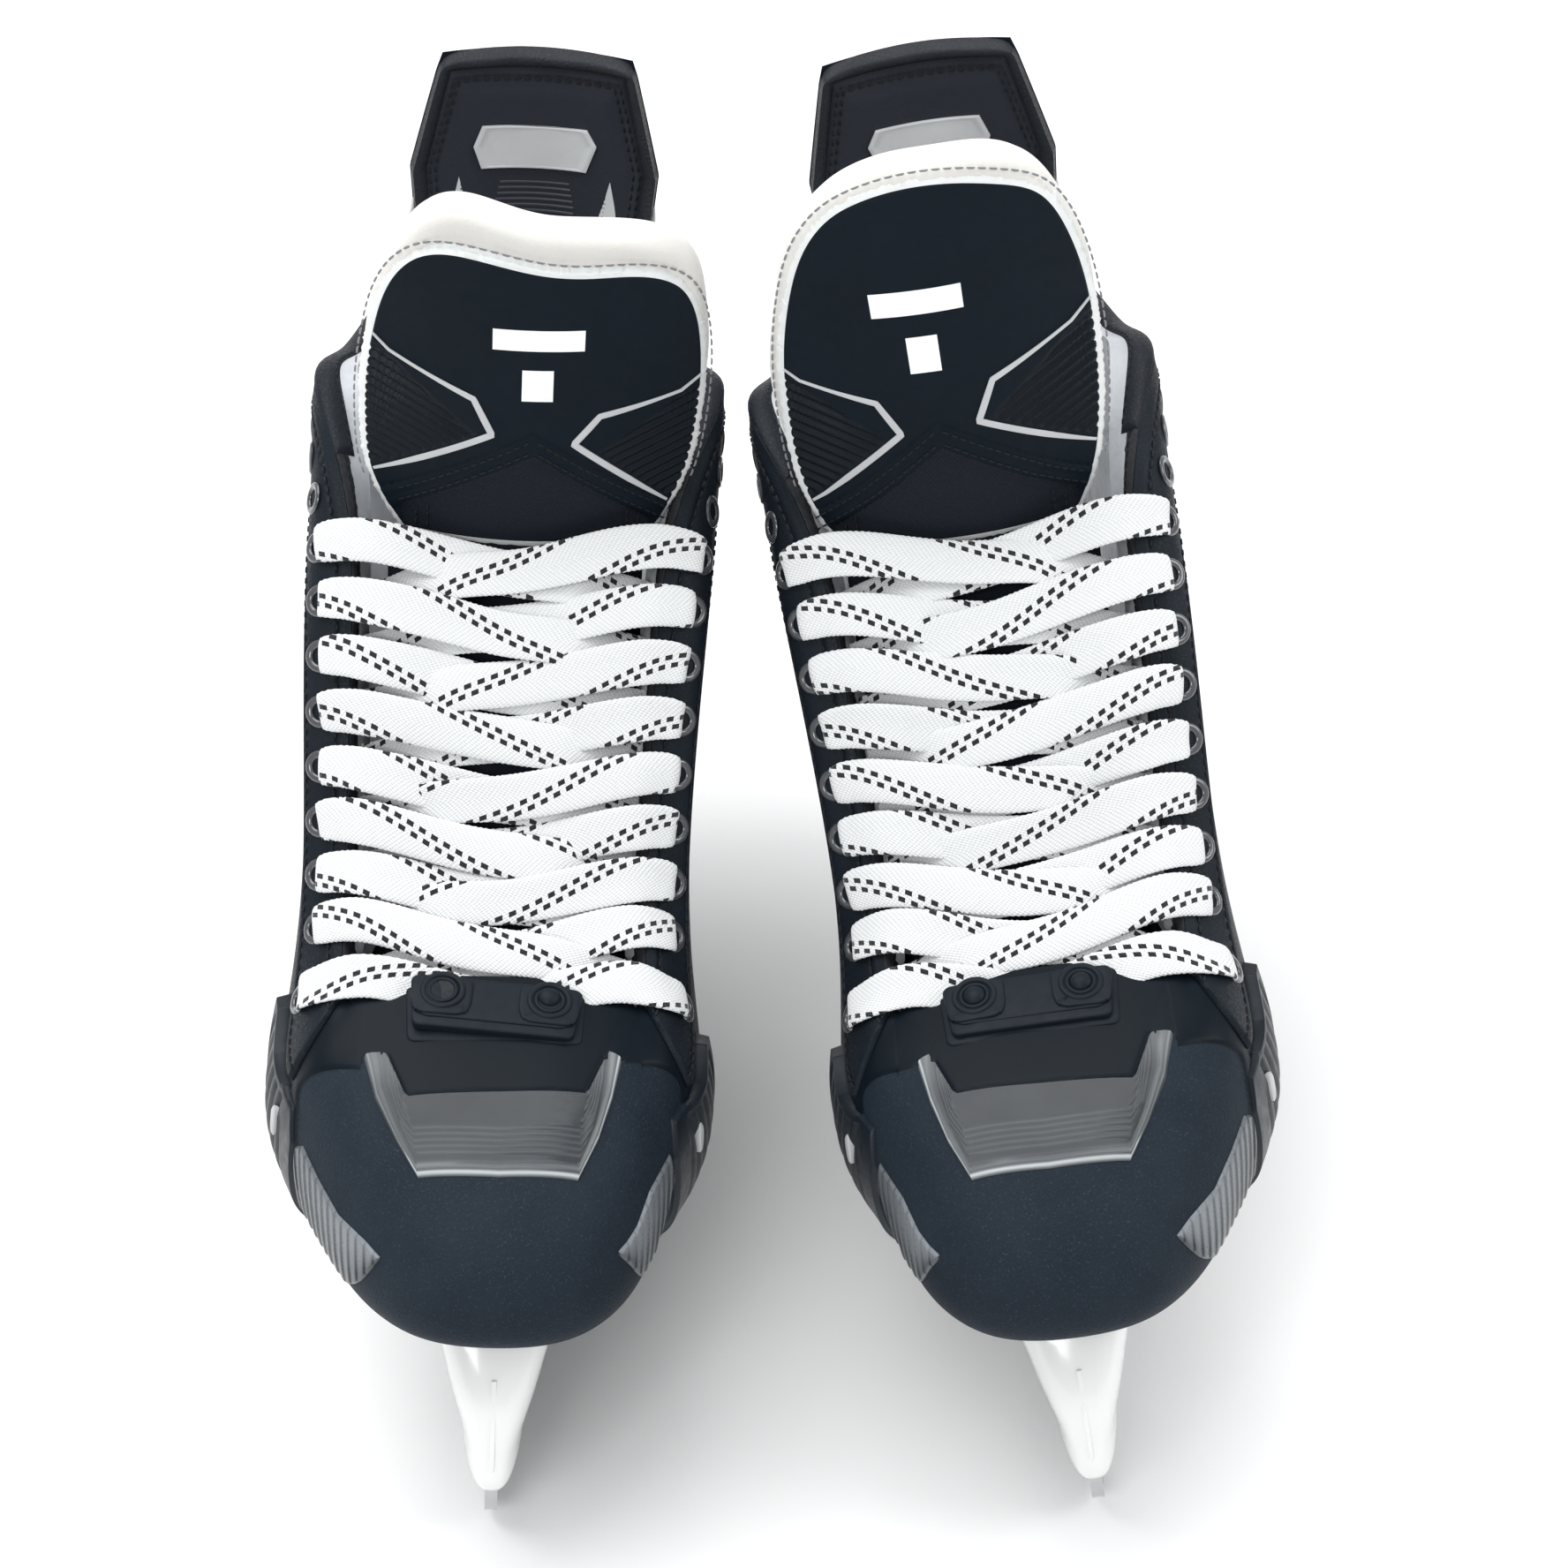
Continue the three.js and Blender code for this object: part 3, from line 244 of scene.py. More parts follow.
# ---------------------------------------------------------------- mesh building
class Piece:
    def __init__(self):
        self.v, self.f, self.uv, self.m, self.n = [], [], [], [], 0
        self.att = []

    def add(self, verts, faces, uv=None, mat=0, att=None):
        verts = np.asarray(verts, float).reshape(-1, 3)
        self.v.append(verts)
        self.uv.append(np.zeros((len(verts), 2)) if uv is None else np.asarray(uv, float).reshape(-1, 2))
        self.att.append(np.zeros(len(verts)) if att is None else np.asarray(att, float).ravel())
        self.f += [[i + self.n for i in f] for f in faces]
        self.m += [mat] * len(faces) if np.isscalar(mat) else list(mat)
        self.n += len(verts)

    def slab(self, outer, inner, uv=None, mat=0, loop=False, att=None, edge_mat=None):
        """A closed solid between two grids of points."""
        R, C = outer.shape[:2]
        if uv is None:
            a = np.concatenate([[0], np.cumsum(np.linalg.norm(np.diff(outer[:, C // 2], axis=0), axis=1))])
            b = np.concatenate([[0], np.cumsum(np.linalg.norm(np.diff(outer[R // 2], axis=0), axis=1))])
            uv = np.stack(np.meshgrid(a, b, indexing="ij"), -1)
        if loop:
            pass
        k = R * C
        ident = lambda q, i, j: q * k + (i % R) * C + j
        faces, mats = [], []
        rows = R if loop else R - 1
        for i in range(rows):
            for j in range(C - 1):
                faces.append([ident(0, i, j), ident(0, i + 1, j), ident(0, i + 1, j + 1), ident(0, i, j + 1)])
                faces.append([ident(1, i, j), ident(1, i, j + 1), ident(1, i + 1, j + 1), ident(1, i + 1, j)])
                mats += [mat, mat]
        em = mat if edge_mat is None else edge_mat
        for i in range(rows):
            faces.append([ident(0, i, 0), ident(1, i, 0), ident(1, i + 1, 0), ident(0, i + 1, 0)])
            faces.append([ident(0, i, C - 1), ident(0, i + 1, C - 1), ident(1, i + 1, C - 1), ident(1, i, C - 1)])
            mats += [em, em]
        if not loop:
            for j in range(C - 1):
                faces.append([ident(0, 0, j), ident(0, 0, j + 1), ident(1, 0, j + 1), ident(1, 0, j)])
                faces.append([ident(0, R - 1, j), ident(1, R - 1, j), ident(1, R - 1, j + 1), ident(0, R - 1, j + 1)])
                mats += [em, em]
        a = None if att is None else np.concatenate([np.asarray(att).ravel(), np.asarray(att).ravel()])
        self.add(
            np.concatenate([outer.reshape(-1, 3), inner.reshape(-1, 3)]),
            faces,
            np.concatenate([uv.reshape(-1, 2), uv.reshape(-1, 2)]),
            mats,
            a,
        )

    def sweep(self, C, W, N, section, mat=0, loop=False, u0=0.0):
        """section: (m, 2) or (n, m, 2) of (across, out) in mm, swept along C."""
        C = np.asarray(C, float)
        n = len(C)
        section = np.asarray(section, float)
        if section.ndim == 2:
            section = np.repeat(section[None], n, 0)
        m = section.shape[1]
        W = W / np.linalg.norm(W, axis=1, keepdims=True)
        N = N / np.linalg.norm(N, axis=1, keepdims=True)
        pts = C[:, None] + W[:, None] * section[..., :1] + N[:, None] * section[..., 1:]
        u = u0 + np.concatenate([[0], np.cumsum(np.linalg.norm(np.diff(C, axis=0), axis=1))])
        uv = np.stack([np.repeat(u[:, None], m, 1), section[..., 0]], -1)
        faces = []
        for i in range(n if loop else n - 1):
            for j in range(m):
                a, b = i * m + j, i * m + (j + 1) % m
                c, d = ((i + 1) % n) * m + (j + 1) % m, ((i + 1) % n) * m + j
                faces.append([a, d, c, b])
        if not loop:
            faces.append(list(range(m)))
            faces.append([(n - 1) * m + j for j in range(m)][::-1])
        self.add(pts, faces, uv, mat)

    def stitches(self, path, nrm, pitch=3.1, length=2.2, r=0.36, lift=0.1, mat=0, skew=0.0):
        path, nrm = np.asarray(path, float), np.asarray(nrm, float)
        c = np.concatenate([[0], np.cumsum(np.linalg.norm(np.diff(path, axis=0), axis=1))])
        n = int(c[-1] / pitch)
        for i in range(n):
            q = (i + 0.5) * pitch + np.array([-length / 2, -length * 0.3, length * 0.3, length / 2])
            p = np.stack([np.interp(q, c, path[:, a]) for a in range(3)], 1)
            nn = np.stack([np.interp(q, c, nrm[:, a]) for a in range(3)], 1)
            nn /= np.linalg.norm(nn, axis=1, keepdims=True)
            d = p[-1] - p[0]
            d /= np.linalg.norm(d) + 1e-9
            w = np.cross(nn, d)
            w /= np.linalg.norm(w, axis=1, keepdims=True)
            if skew:
                p = p + w * (np.array([-0.5, -0.3, 0.3, 0.5]) * skew)[:, None]
            rad = np.array([0.45, 1.0, 1.0, 0.45]) * r
            off = np.array([-0.35, 1, 1, -0.35]) * r * 0.7 + lift
            ang = np.linspace(0, 2 * math.pi, 6, endpoint=False)
            sec = np.stack([np.stack([np.cos(ang) * a, np.sin(ang) * a * 0.8 + o], 1) for a, o in zip(rad, off)])
            self.sweep(p, w, nn, sec, mat)

    def patch(self, ring, at, front, back, mat=0, rings=40, fmat=None, centre=None):
        """A closed pad whose outline is ring (x, z): front and back give its two surfaces from x, z and the distance to the edge."""
        ring = np.asarray(ring, float)
        c = ring.mean(0) if centre is None else np.asarray(centre, float)
        r = ring - c
        R = np.linalg.norm(r, axis=1)
        n = len(ring)
        u = np.linspace(0, 1, rings)
        fr = 1 - 0.985 * u**1.35
        rows = []
        for f in fr:
            q = c + r * f
            rows.append((q[:, 0], q[:, 1], R * (1 - f)))
        v, uv, faces, mats = [], [], [], []
        for x, z, e in rows:
            v.append(at(x, z, front(x, z, e)))
            uv.append(np.stack([x, z], 1))
        for x, z, e in rows:
            v.append(at(x, z, back(x, z, e)))
            uv.append(np.stack([x, z], 1))
        for i in range(rings - 1):
            x, z, e = rows[i]
            x2, z2, e2 = rows[i + 1]
            fm = None if fmat is None else fmat((x + x2) / 2, (z + z2) / 2, (e + e2) / 2)
            for j in range(n):
                a, b = i * n + j, i * n + (j + 1) % n
                faces.append([a, b, b + n, a + n])
                mats.append(mat if fm is None else int(fm[j]))
                k = rings * n
                faces.append([a + k, a + n + k, b + n + k, b + k])
                mats.append(mat)
        for j in range(n):
            a, b = j, (j + 1) % n
            faces.append([a, a + rings * n, b + rings * n, b])
            mats.append(mat)
        last = (rings - 1) * n
        faces.append([last + j for j in range(n)])
        faces.append([last + rings * n + j for j in range(n)][::-1])
        mats += [mat if fmat is None else int(fm[0]), mat]
        self.add(np.concatenate(v), faces, np.concatenate(uv), mats)

    def dome(self, centre, nrm, radius, height, mat=0, rings=7, sides=28, base=-0.6):
        """A round button on the surface."""
        n = np.asarray(nrm, float) / np.linalg.norm(nrm)
        a = np.cross(n, [0, 1, 0.01])
        a /= np.linalg.norm(a)
        b = np.cross(n, a)
        prof = [(1.0, base / max(height, 1e-6))] + [
            (math.cos(q), math.sin(q)) for q in np.linspace(0, math.pi / 2 * 0.96, rings)
        ]
        self.lathe(centre, n, [(radius * x, height * z) for x, z in prof], mat, sides)

    def lathe(self, centre, nrm, prof, mat=0, sides=28, stretch=1.0, axis_a=None):
        n = np.asarray(nrm, float) / np.linalg.norm(nrm)
        a = np.cross(n, [0, 1, 0.01]) if axis_a is None else np.asarray(axis_a, float)
        a = a - n * np.dot(a, n)
        a /= np.linalg.norm(a)
        b = np.cross(n, a)
        ang = np.linspace(0, 2 * math.pi, sides, endpoint=False)
        v, f = [], []
        for rr, h in prof:
            v.append(np.asarray(centre) + n * h + (np.cos(ang)[:, None] * a * rr * stretch + np.sin(ang)[:, None] * b * rr))
        m = len(prof)
        for i in range(m - 1):
            for j in range(sides):
                f.append([i * sides + j, i * sides + (j + 1) % sides, (i + 1) * sides + (j + 1) % sides, (i + 1) * sides + j])
        f.append([j for j in range(sides)][::-1])
        f.append([(m - 1) * sides + j for j in range(sides)])
        v = np.concatenate(v)
        uv = np.stack([(v - centre) @ a, (v - centre) @ b], 1)
        self.add(v, f, uv, mat)

    def ring(self, centre, nrm, R, r, mat=0, sides=32, tube=12, flat=1.0):
        n = np.asarray(nrm, float) / np.linalg.norm(nrm)
        a = np.cross(n, [0, 1, 0.01])
        a /= np.linalg.norm(a)
        b = np.cross(n, a)
        ang = np.linspace(0, 2 * math.pi, sides, endpoint=False)
        rad = np.cos(ang)[:, None] * a + np.sin(ang)[:, None] * b
        C = np.asarray(centre) + rad * R
        q = np.linspace(0, 2 * math.pi, tube, endpoint=False)
        self.sweep(C, rad, np.repeat(n[None], sides, 0), np.stack([np.cos(q) * r, np.sin(q) * r * flat], 1), mat, loop=True)

    def build(self, name, k, mats, sharp=38, att=None):
        v = world(k, np.concatenate(self.v))
        me = bpy.data.meshes.new(name)
        me.from_pydata([tuple(p) for p in v], [], self.f)
        uv = np.concatenate(self.uv) / 100.0  # one UV unit is 100 mm
        layer = me.uv_layers.new(name="UVMap")
        li = np.zeros(len(me.loops), int)
        me.loops.foreach_get("vertex_index", li)
        layer.data.foreach_set("uv", uv[li].ravel())
        if att:
            a = me.attributes.new(att, "FLOAT", "POINT")
            a.data.foreach_set("value", np.concatenate(self.att))
        for m in mats:
            me.materials.append(m)
        me.polygons.foreach_set("material_index", self.m)
        me.polygons.foreach_set("use_smooth", [True] * len(me.polygons))
        me.update()
        import bmesh

        bm = bmesh.new()
        bm.from_mesh(me)
        bmesh.ops.recalc_face_normals(bm, faces=bm.faces)
        bm.to_mesh(me)
        bm.free()
        if sharp:
            me.set_sharp_from_angle(angle=math.radians(sharp))
        me.validate()
        o = bpy.data.objects.new(name, me)
        bpy.context.scene.collection.objects.link(o)
        return o


def done(o, body, slot, *nodes):
    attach(o, body)
    if nodes:
        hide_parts(*nodes)
    return o


# ---------------------------------------------------------------- materials
class Tree:
    """Short names for building a material's nodes."""

    def __init__(self, name):
        self.mat = bpy.data.materials.new(name)
        self.mat.use_nodes = True
        self.t = self.mat.node_tree
        self.n = self.t.nodes
        self.b = self.n["Principled BSDF"]
        self.pos = 0

    def node(self, kind, **props):
        x = self.n.new(kind)
        self.pos += 1
        x.location = (-200 * (self.pos % 12) - 300, -180 * (self.pos // 12))
        for a, b in props.items():
            setattr(x, a, b)
        return x

    def link(self, a, b):
        self.t.links.new(a, b)

    def put(self, sock, v):
        if hasattr(v, "is_output"):
            self.link(v, sock)
        else:
            sock.default_value = v

    def math(self, op, a, b=0.0, c=None, clamp=False):
        x = self.node("ShaderNodeMath", operation=op, use_clamp=clamp)
        self.put(x.inputs[0], a)
        self.put(x.inputs[1], b)
        if c is not None:
            self.put(x.inputs[2], c)
        return x.outputs[0]

    def step(self, x, lo, hi):
        r = self.node("ShaderNodeMapRange", interpolation_type="SMOOTHSTEP")
        self.put(r.inputs["Value"], x)
        r.inputs["From Min"].default_value = lo
        r.inputs["From Max"].default_value = hi
        return r.outputs[0]

    def span(self, x, a, b, lo=0.0, hi=1.0):
        r = self.node("ShaderNodeMapRange")
        self.put(r.inputs["Value"], x)
        for s, v in zip(("From Min", "From Max", "To Min", "To Max"), (lo, hi, a, b)):
            r.inputs[s].default_value = v
        return r.outputs[0]

    def uv(self):
        """(u, v) in millimetres."""
        x = self.node("ShaderNodeUVMap", uv_map="UVMap")
        s = self.node("ShaderNodeSeparateXYZ")
        self.link(x.outputs[0], s.inputs[0])
        return self.math("MULTIPLY", s.outputs[0], 100.0), self.math("MULTIPLY", s.outputs[1], 100.0)

    def obj(self):
        return self.node("ShaderNodeTexCoord").outputs["Object"]

    def noise(self, scale, detail=3.0, rough=0.55, vec=None, dist=0.0):
        x = self.node("ShaderNodeTexNoise")
        self.link(vec or self.obj(), x.inputs["Vector"])
        x.inputs["Scale"].default_value = scale
        x.inputs["Detail"].default_value = detail
        x.inputs["Roughness"].default_value = rough
        x.inputs["Distortion"].default_value = dist
        return x.outputs[0]

    def voro(self, scale, feature="F1", vec=None, out=0):
        x = self.node("ShaderNodeTexVoronoi", feature=feature)
        self.link(vec or self.obj(), x.inputs["Vector"])
        x.inputs["Scale"].default_value = scale
        return x.outputs[out]

    def attr(self, name):
        return self.node("ShaderNodeAttribute", attribute_name=name).outputs["Fac"]

    def mix(self, f, a, b):
        x = self.node("ShaderNodeMix", data_type="RGBA")
        self.put(x.inputs[0], f)
        self.put(x.inputs[6], a if hasattr(a, "is_output") else (*a, 1))
        self.put(x.inputs[7], b if hasattr(b, "is_output") else (*b, 1))
        return x.outputs[2]

    def bump(self, height, dist, strength=1.0, prev=None):
        x = self.node("ShaderNodeBump")
        self.link(height, x.inputs["Height"])
        x.inputs["Distance"].default_value = dist
        x.inputs["Strength"].default_value = strength
        if prev is not None:
            self.link(prev, x.inputs["Normal"])
        return x.outputs[0]

    def done(self, color=None, rough=None, normal=None, **sockets):
        if color is not None:
            self.put(self.b.inputs["Base Color"], color if hasattr(color, "is_output") else (*color, 1))
        if rough is not None:
            self.put(self.b.inputs["Roughness"], rough)
        if normal is not None:
            self.link(normal, self.b.inputs["Normal"])
        for a, v in sockets.items():
            self.put(self.b.inputs[a.replace("_", " ")], v)
        return self.mat


def m_grain(name, base, rough=0.6, grain=1500, depth=0.00012, vary=0.25, spec=0.5, tint=None):
    """Moulded plastic with a fine sandy grain."""
    t = Tree(name)
    fine = t.voro(grain)
    big = t.noise(60, 3)
    c = t.mix(t.span(big, 0.3, 0.7), tuple(x * (1 - vary) for x in base), tuple(x * (1 + vary) for x in (tint or base)))
    r = t.span(t.noise(grain * 0.4, 2), rough - 0.06, rough + 0.06, 0.3, 0.7)
    n = t.bump(fine, depth, 0.6)
    return t.done(c, r, n, Specular_IOR_Level=spec)


def m_satin(name, base, rough=0.38, depth=0.00005, spec=0.3):
    """Smooth moulded plastic: slight unevenness and faint handling marks."""
    t = Tree(name)
    c = t.mix(t.noise(45, 4), tuple(x * 0.82 for x in base), tuple(x * 1.2 for x in base))
    marks = t.noise(320, 5, 0.7)
    r = t.span(marks, rough - 0.07, rough + 0.09, 0.3, 0.7)
    n = t.bump(t.noise(900, 3), depth, 0.4)
    return t.done(c, r, n, Specular_IOR_Level=spec)


def m_leather(name, base, rough=0.5, scale=900, depth=0.00018):
    t = Tree(name)
    cells = t.voro(scale, "DISTANCE_TO_EDGE")
    c = t.mix(t.noise(90, 4), tuple(x * 0.7 for x in base), tuple(x * 1.5 for x in base))
    r = t.span(cells, rough + 0.12, rough - 0.06, 0.0, 0.25)
    n = t.bump(cells, depth, 0.7, t.bump(t.noise(260, 4), 0.0002, 0.5))
    return t.done(c, r, n, Specular_IOR_Level=0.16)


def m_weave(name, base, pitch=0.9, rough=0.85, depth=0.0002, contrast=0.35, sheen=0.25, tint=None, skew=0.0):
    """Woven cloth: threads over and under along u and v."""
    t = Tree(name)
    u, v = t.uv()
    if skew:
        u, v = t.math("ADD", u, t.math("MULTIPLY", v, skew)), t.math("SUBTRACT", v, t.math("MULTIPLY", u, skew))
    k = 2 * math.pi / pitch
    a = t.math("SINE", t.math("MULTIPLY", u, k))
    b = t.math("SINE", t.math("MULTIPLY", v, k))
    w = t.math("MULTIPLY", a, b)
    h = t.span(w, 0, 1, -1, 1)
    big = t.noise(70, 4)
    # Painted shade: the colour follows the weave height h, darker where the threads dip under, lighter on their crests.
    c = t.mix(h, tuple(x * (1 - contrast) for x in base), tuple(x * (1 + contrast * 0.4) for x in (tint or base)))
    c2 = t.mix(t.math("MULTIPLY", big, 0.35), c, tuple(x * 0.75 for x in base))
    n = t.bump(h, depth, 0.7, t.bump(t.noise(1400, 2), 0.0001, 0.4))
    return t.done(c2, rough, n, Sheen_Weight=sheen, Sheen_Roughness=0.5, Specular_IOR_Level=0.3)


def m_felt(name, base):
    t = Tree(name)
    fuzz = t.noise(1300, 6, 0.75)
    soft = t.noise(110, 4)
    # Painted shade: slightly darker in the hollows of the soft lumps that the bump raises.
    c = t.mix(t.span(soft, 0, 1, 0.3, 0.7), tuple(x * 0.93 for x in base), base)
    c = t.mix(t.math("MULTIPLY", fuzz, 0.25), c, tuple(x * 0.85 for x in base))
    n = t.bump(fuzz, 0.00035, 0.55, t.bump(soft, 0.0012, 0.35))
    return t.done(c, 0.95, n, Sheen_Weight=0.5, Sheen_Roughness=0.6, Specular_IOR_Level=0.2, Subsurface_Weight=0.08)


def m_gloss(name, base, rough=0.16, spec=0.6, coat=0.5):
    t = Tree(name)
    c = t.mix(t.noise(35, 3), tuple(x * 0.9 for x in base), base)
    r = t.span(t.noise(240, 5, 0.7), rough - 0.04, rough + 0.07, 0.3, 0.7)
    n = t.bump(t.noise(25, 2), 0.0002, 0.25)
    return t.done(c, r, n, Specular_IOR_Level=spec, Coat_Weight=coat, Coat_Roughness=0.08)


def m_steel(name, base=(0.55, 0.55, 0.56), rough=0.16, along=(1, 60, 60)):
    t = Tree(name)
    mp = t.node("ShaderNodeMapping")
    t.link(t.obj(), mp.inputs[0])
    mp.inputs["Scale"].default_value = along
    sc = t.node("ShaderNodeTexNoise")
    t.link(mp.outputs[0], sc.inputs["Vector"])
    sc.inputs["Scale"].default_value = 60
    sc.inputs["Detail"].default_value = 5
    c = t.mix(sc.outputs[0], tuple(x * 0.9 for x in base), tuple(min(1, x * 1.1) for x in base))
    r = t.span(sc.outputs[0], rough - 0.05, rough + 0.12, 0.3, 0.7)
    n = t.bump(sc.outputs[0], 0.00003, 0.3)
    return t.done(c, r, n, Metallic=1.0)


def m_lace(name):
    """Flat woven cotton with two rows of dark tracer dashes that run across it slantwise."""
    t = Tree(name)
    u, v = t.uv()
    # herringbone-like weave
    k1, k2 = 2 * math.pi / 1.25, 2 * math.pi / 0.95
    uu = t.math("ADD", u, t.math("MULTIPLY", t.math("ABSOLUTE", v), 0.45))
    a = t.math("SINE", t.math("MULTIPLY", uu, k1))
    b = t.math("SINE", t.math("MULTIPLY", v, k2))
    h = t.span(t.math("MULTIPLY", a, b), 0, 1, -1, 1)
    # slanting tracer
    period, half = 46.0, 5.4
    ph = t.math("FRACT", t.math("DIVIDE", u, period))
    line = t.span(ph, -half * 1.3, half * 1.3)
    q = t.math("SUBTRACT", v, line)
    masks = []
    for off, sh in ((1.05, 0.0), (-1.05, 0.5)):
        dv = t.math("ABSOLUTE", t.math("SUBTRACT", q, off))
        row = t.math("LESS_THAN", dv, 0.62)
        du = t.math("FRACT", t.math("ADD", t.math("DIVIDE", u, 3.3), sh))
        dash = t.math("LESS_THAN", t.math("ABSOLUTE", t.math("SUBTRACT", du, 0.5)), 0.27)
        masks.append(t.math("MULTIPLY", row, dash))
    mask = t.math("MAXIMUM", masks[0], masks[1])
    # Painted shade: darker grey in the weave's hollows, white on its crests.
    base = t.mix(h, (0.56, 0.575, 0.585), (0.80, 0.805, 0.81))
    base = t.mix(t.math("MULTIPLY", t.noise(150, 4), 0.25), base, (0.64, 0.655, 0.665))
    c = t.mix(mask, base, (0.012, 0.013, 0.016))
    fuzz = t.noise(2600, 5, 0.8)
    n = t.bump(h, 0.00022, 0.75, t.bump(fuzz, 0.0002, 0.5))
    return t.done(c, 0.9, n, Sheen_Weight=0.35, Sheen_Roughness=0.5, Specular_IOR_Level=0.25)


def m_cap(name):
    """Toe cap: sandy charcoal dome, smooth satin where the attribute is above zero."""
    t = Tree(name)
    a = t.step(t.attr("rim"), -0.12, 0.12)
    fine = t.voro(1500)
    cloud = t.noise(26, 5, 0.6)
    dome = t.mix(t.span(cloud, 0, 1, 0.35, 0.65), (0.0095, 0.0150, 0.0225), (0.0150, 0.0225, 0.0315))
    speck = t.mix(t.step(t.noise(1900, 2), 0.58, 0.72), dome, (0.028, 0.035, 0.046))
    dust = t.mix(t.step(t.voro(240), 0.03, 0.0), speck, (0.10, 0.11, 0.12))
    c = t.mix(a, dust, (0.0040, 0.0072, 0.0112))
    r = t.span(a, 0.62, 0.40)
    n = t.bump(t.math("MULTIPLY", fine, t.math("SUBTRACT", 1.0, a)), 0.00022, 0.6, t.bump(t.noise(700, 3), 0.00003, 0.3))
    return t.done(c, r, n, Specular_IOR_Level=0.09)


def m_window(name, lo=(0.006, 0.0085, 0.0115), hi=(0.50, 0.53, 0.55), rough=0.16, spec=0.20):
    """Smoky see-through plastic: the attribute mixes from the smoke's own dark colour lo at 0 to the pale colour hi at
    1, which paints highlights and light onto it.
    """
    t = Tree(name)
    a = t.attr("tone_and_painted_light")
    # hi is a painted highlight colour; lo is the plastic's own smoky tone
    c = t.mix(t.math("ADD", a, t.math("MULTIPLY", t.math("SUBTRACT", t.noise(60, 4), 0.5), 0.06), clamp=True), lo, hi)
    r = t.span(t.noise(420, 4, 0.7), rough - 0.05, rough + 0.08, 0.3, 0.7)
    n = t.bump(t.noise(120, 3), 0.00012, 0.25)
    return t.done(c, r, n, Specular_IOR_Level=spec, Coat_Weight=0.04, Coat_Roughness=0.06)


def m_liner(name, base=(0.42, 0.44, 0.47)):
    """Brushed, slightly shiny lining cloth with soft creases."""
    t = Tree(name)
    u, v = t.uv()
    fine = t.noise(1500, 4, 0.7)
    crease = t.noise(38, 5, 0.6, dist=0.6)
    # Painted shade: darker in the hollows of the creases, lighter on their crowns.
    c = t.mix(t.span(crease, 0, 1, 0.3, 0.7), tuple(x * 0.78 for x in base), tuple(x * 1.2 for x in base))
    c = t.mix(t.math("MULTIPLY", fine, 0.3), c, tuple(x * 0.7 for x in base))
    n = t.bump(crease, 0.0022, 0.55, t.bump(fine, 0.00015, 0.5))
    return t.done(c, 0.48, n, Sheen_Weight=0.4, Sheen_Roughness=0.35, Specular_IOR_Level=0.45)


def m_rawedge(name):
    """The cut edges of stacked layers of foam, board and leather: a dark mottled grey."""
    t = Tree(name)
    c = t.mix(t.noise(700, 5, 0.7), (0.006, 0.006, 0.008), (0.045, 0.047, 0.052))
    n = t.bump(t.noise(900, 5, 0.8), 0.0005, 0.8)
    return t.done(c, 0.8, n, Specular_IOR_Level=0.25)


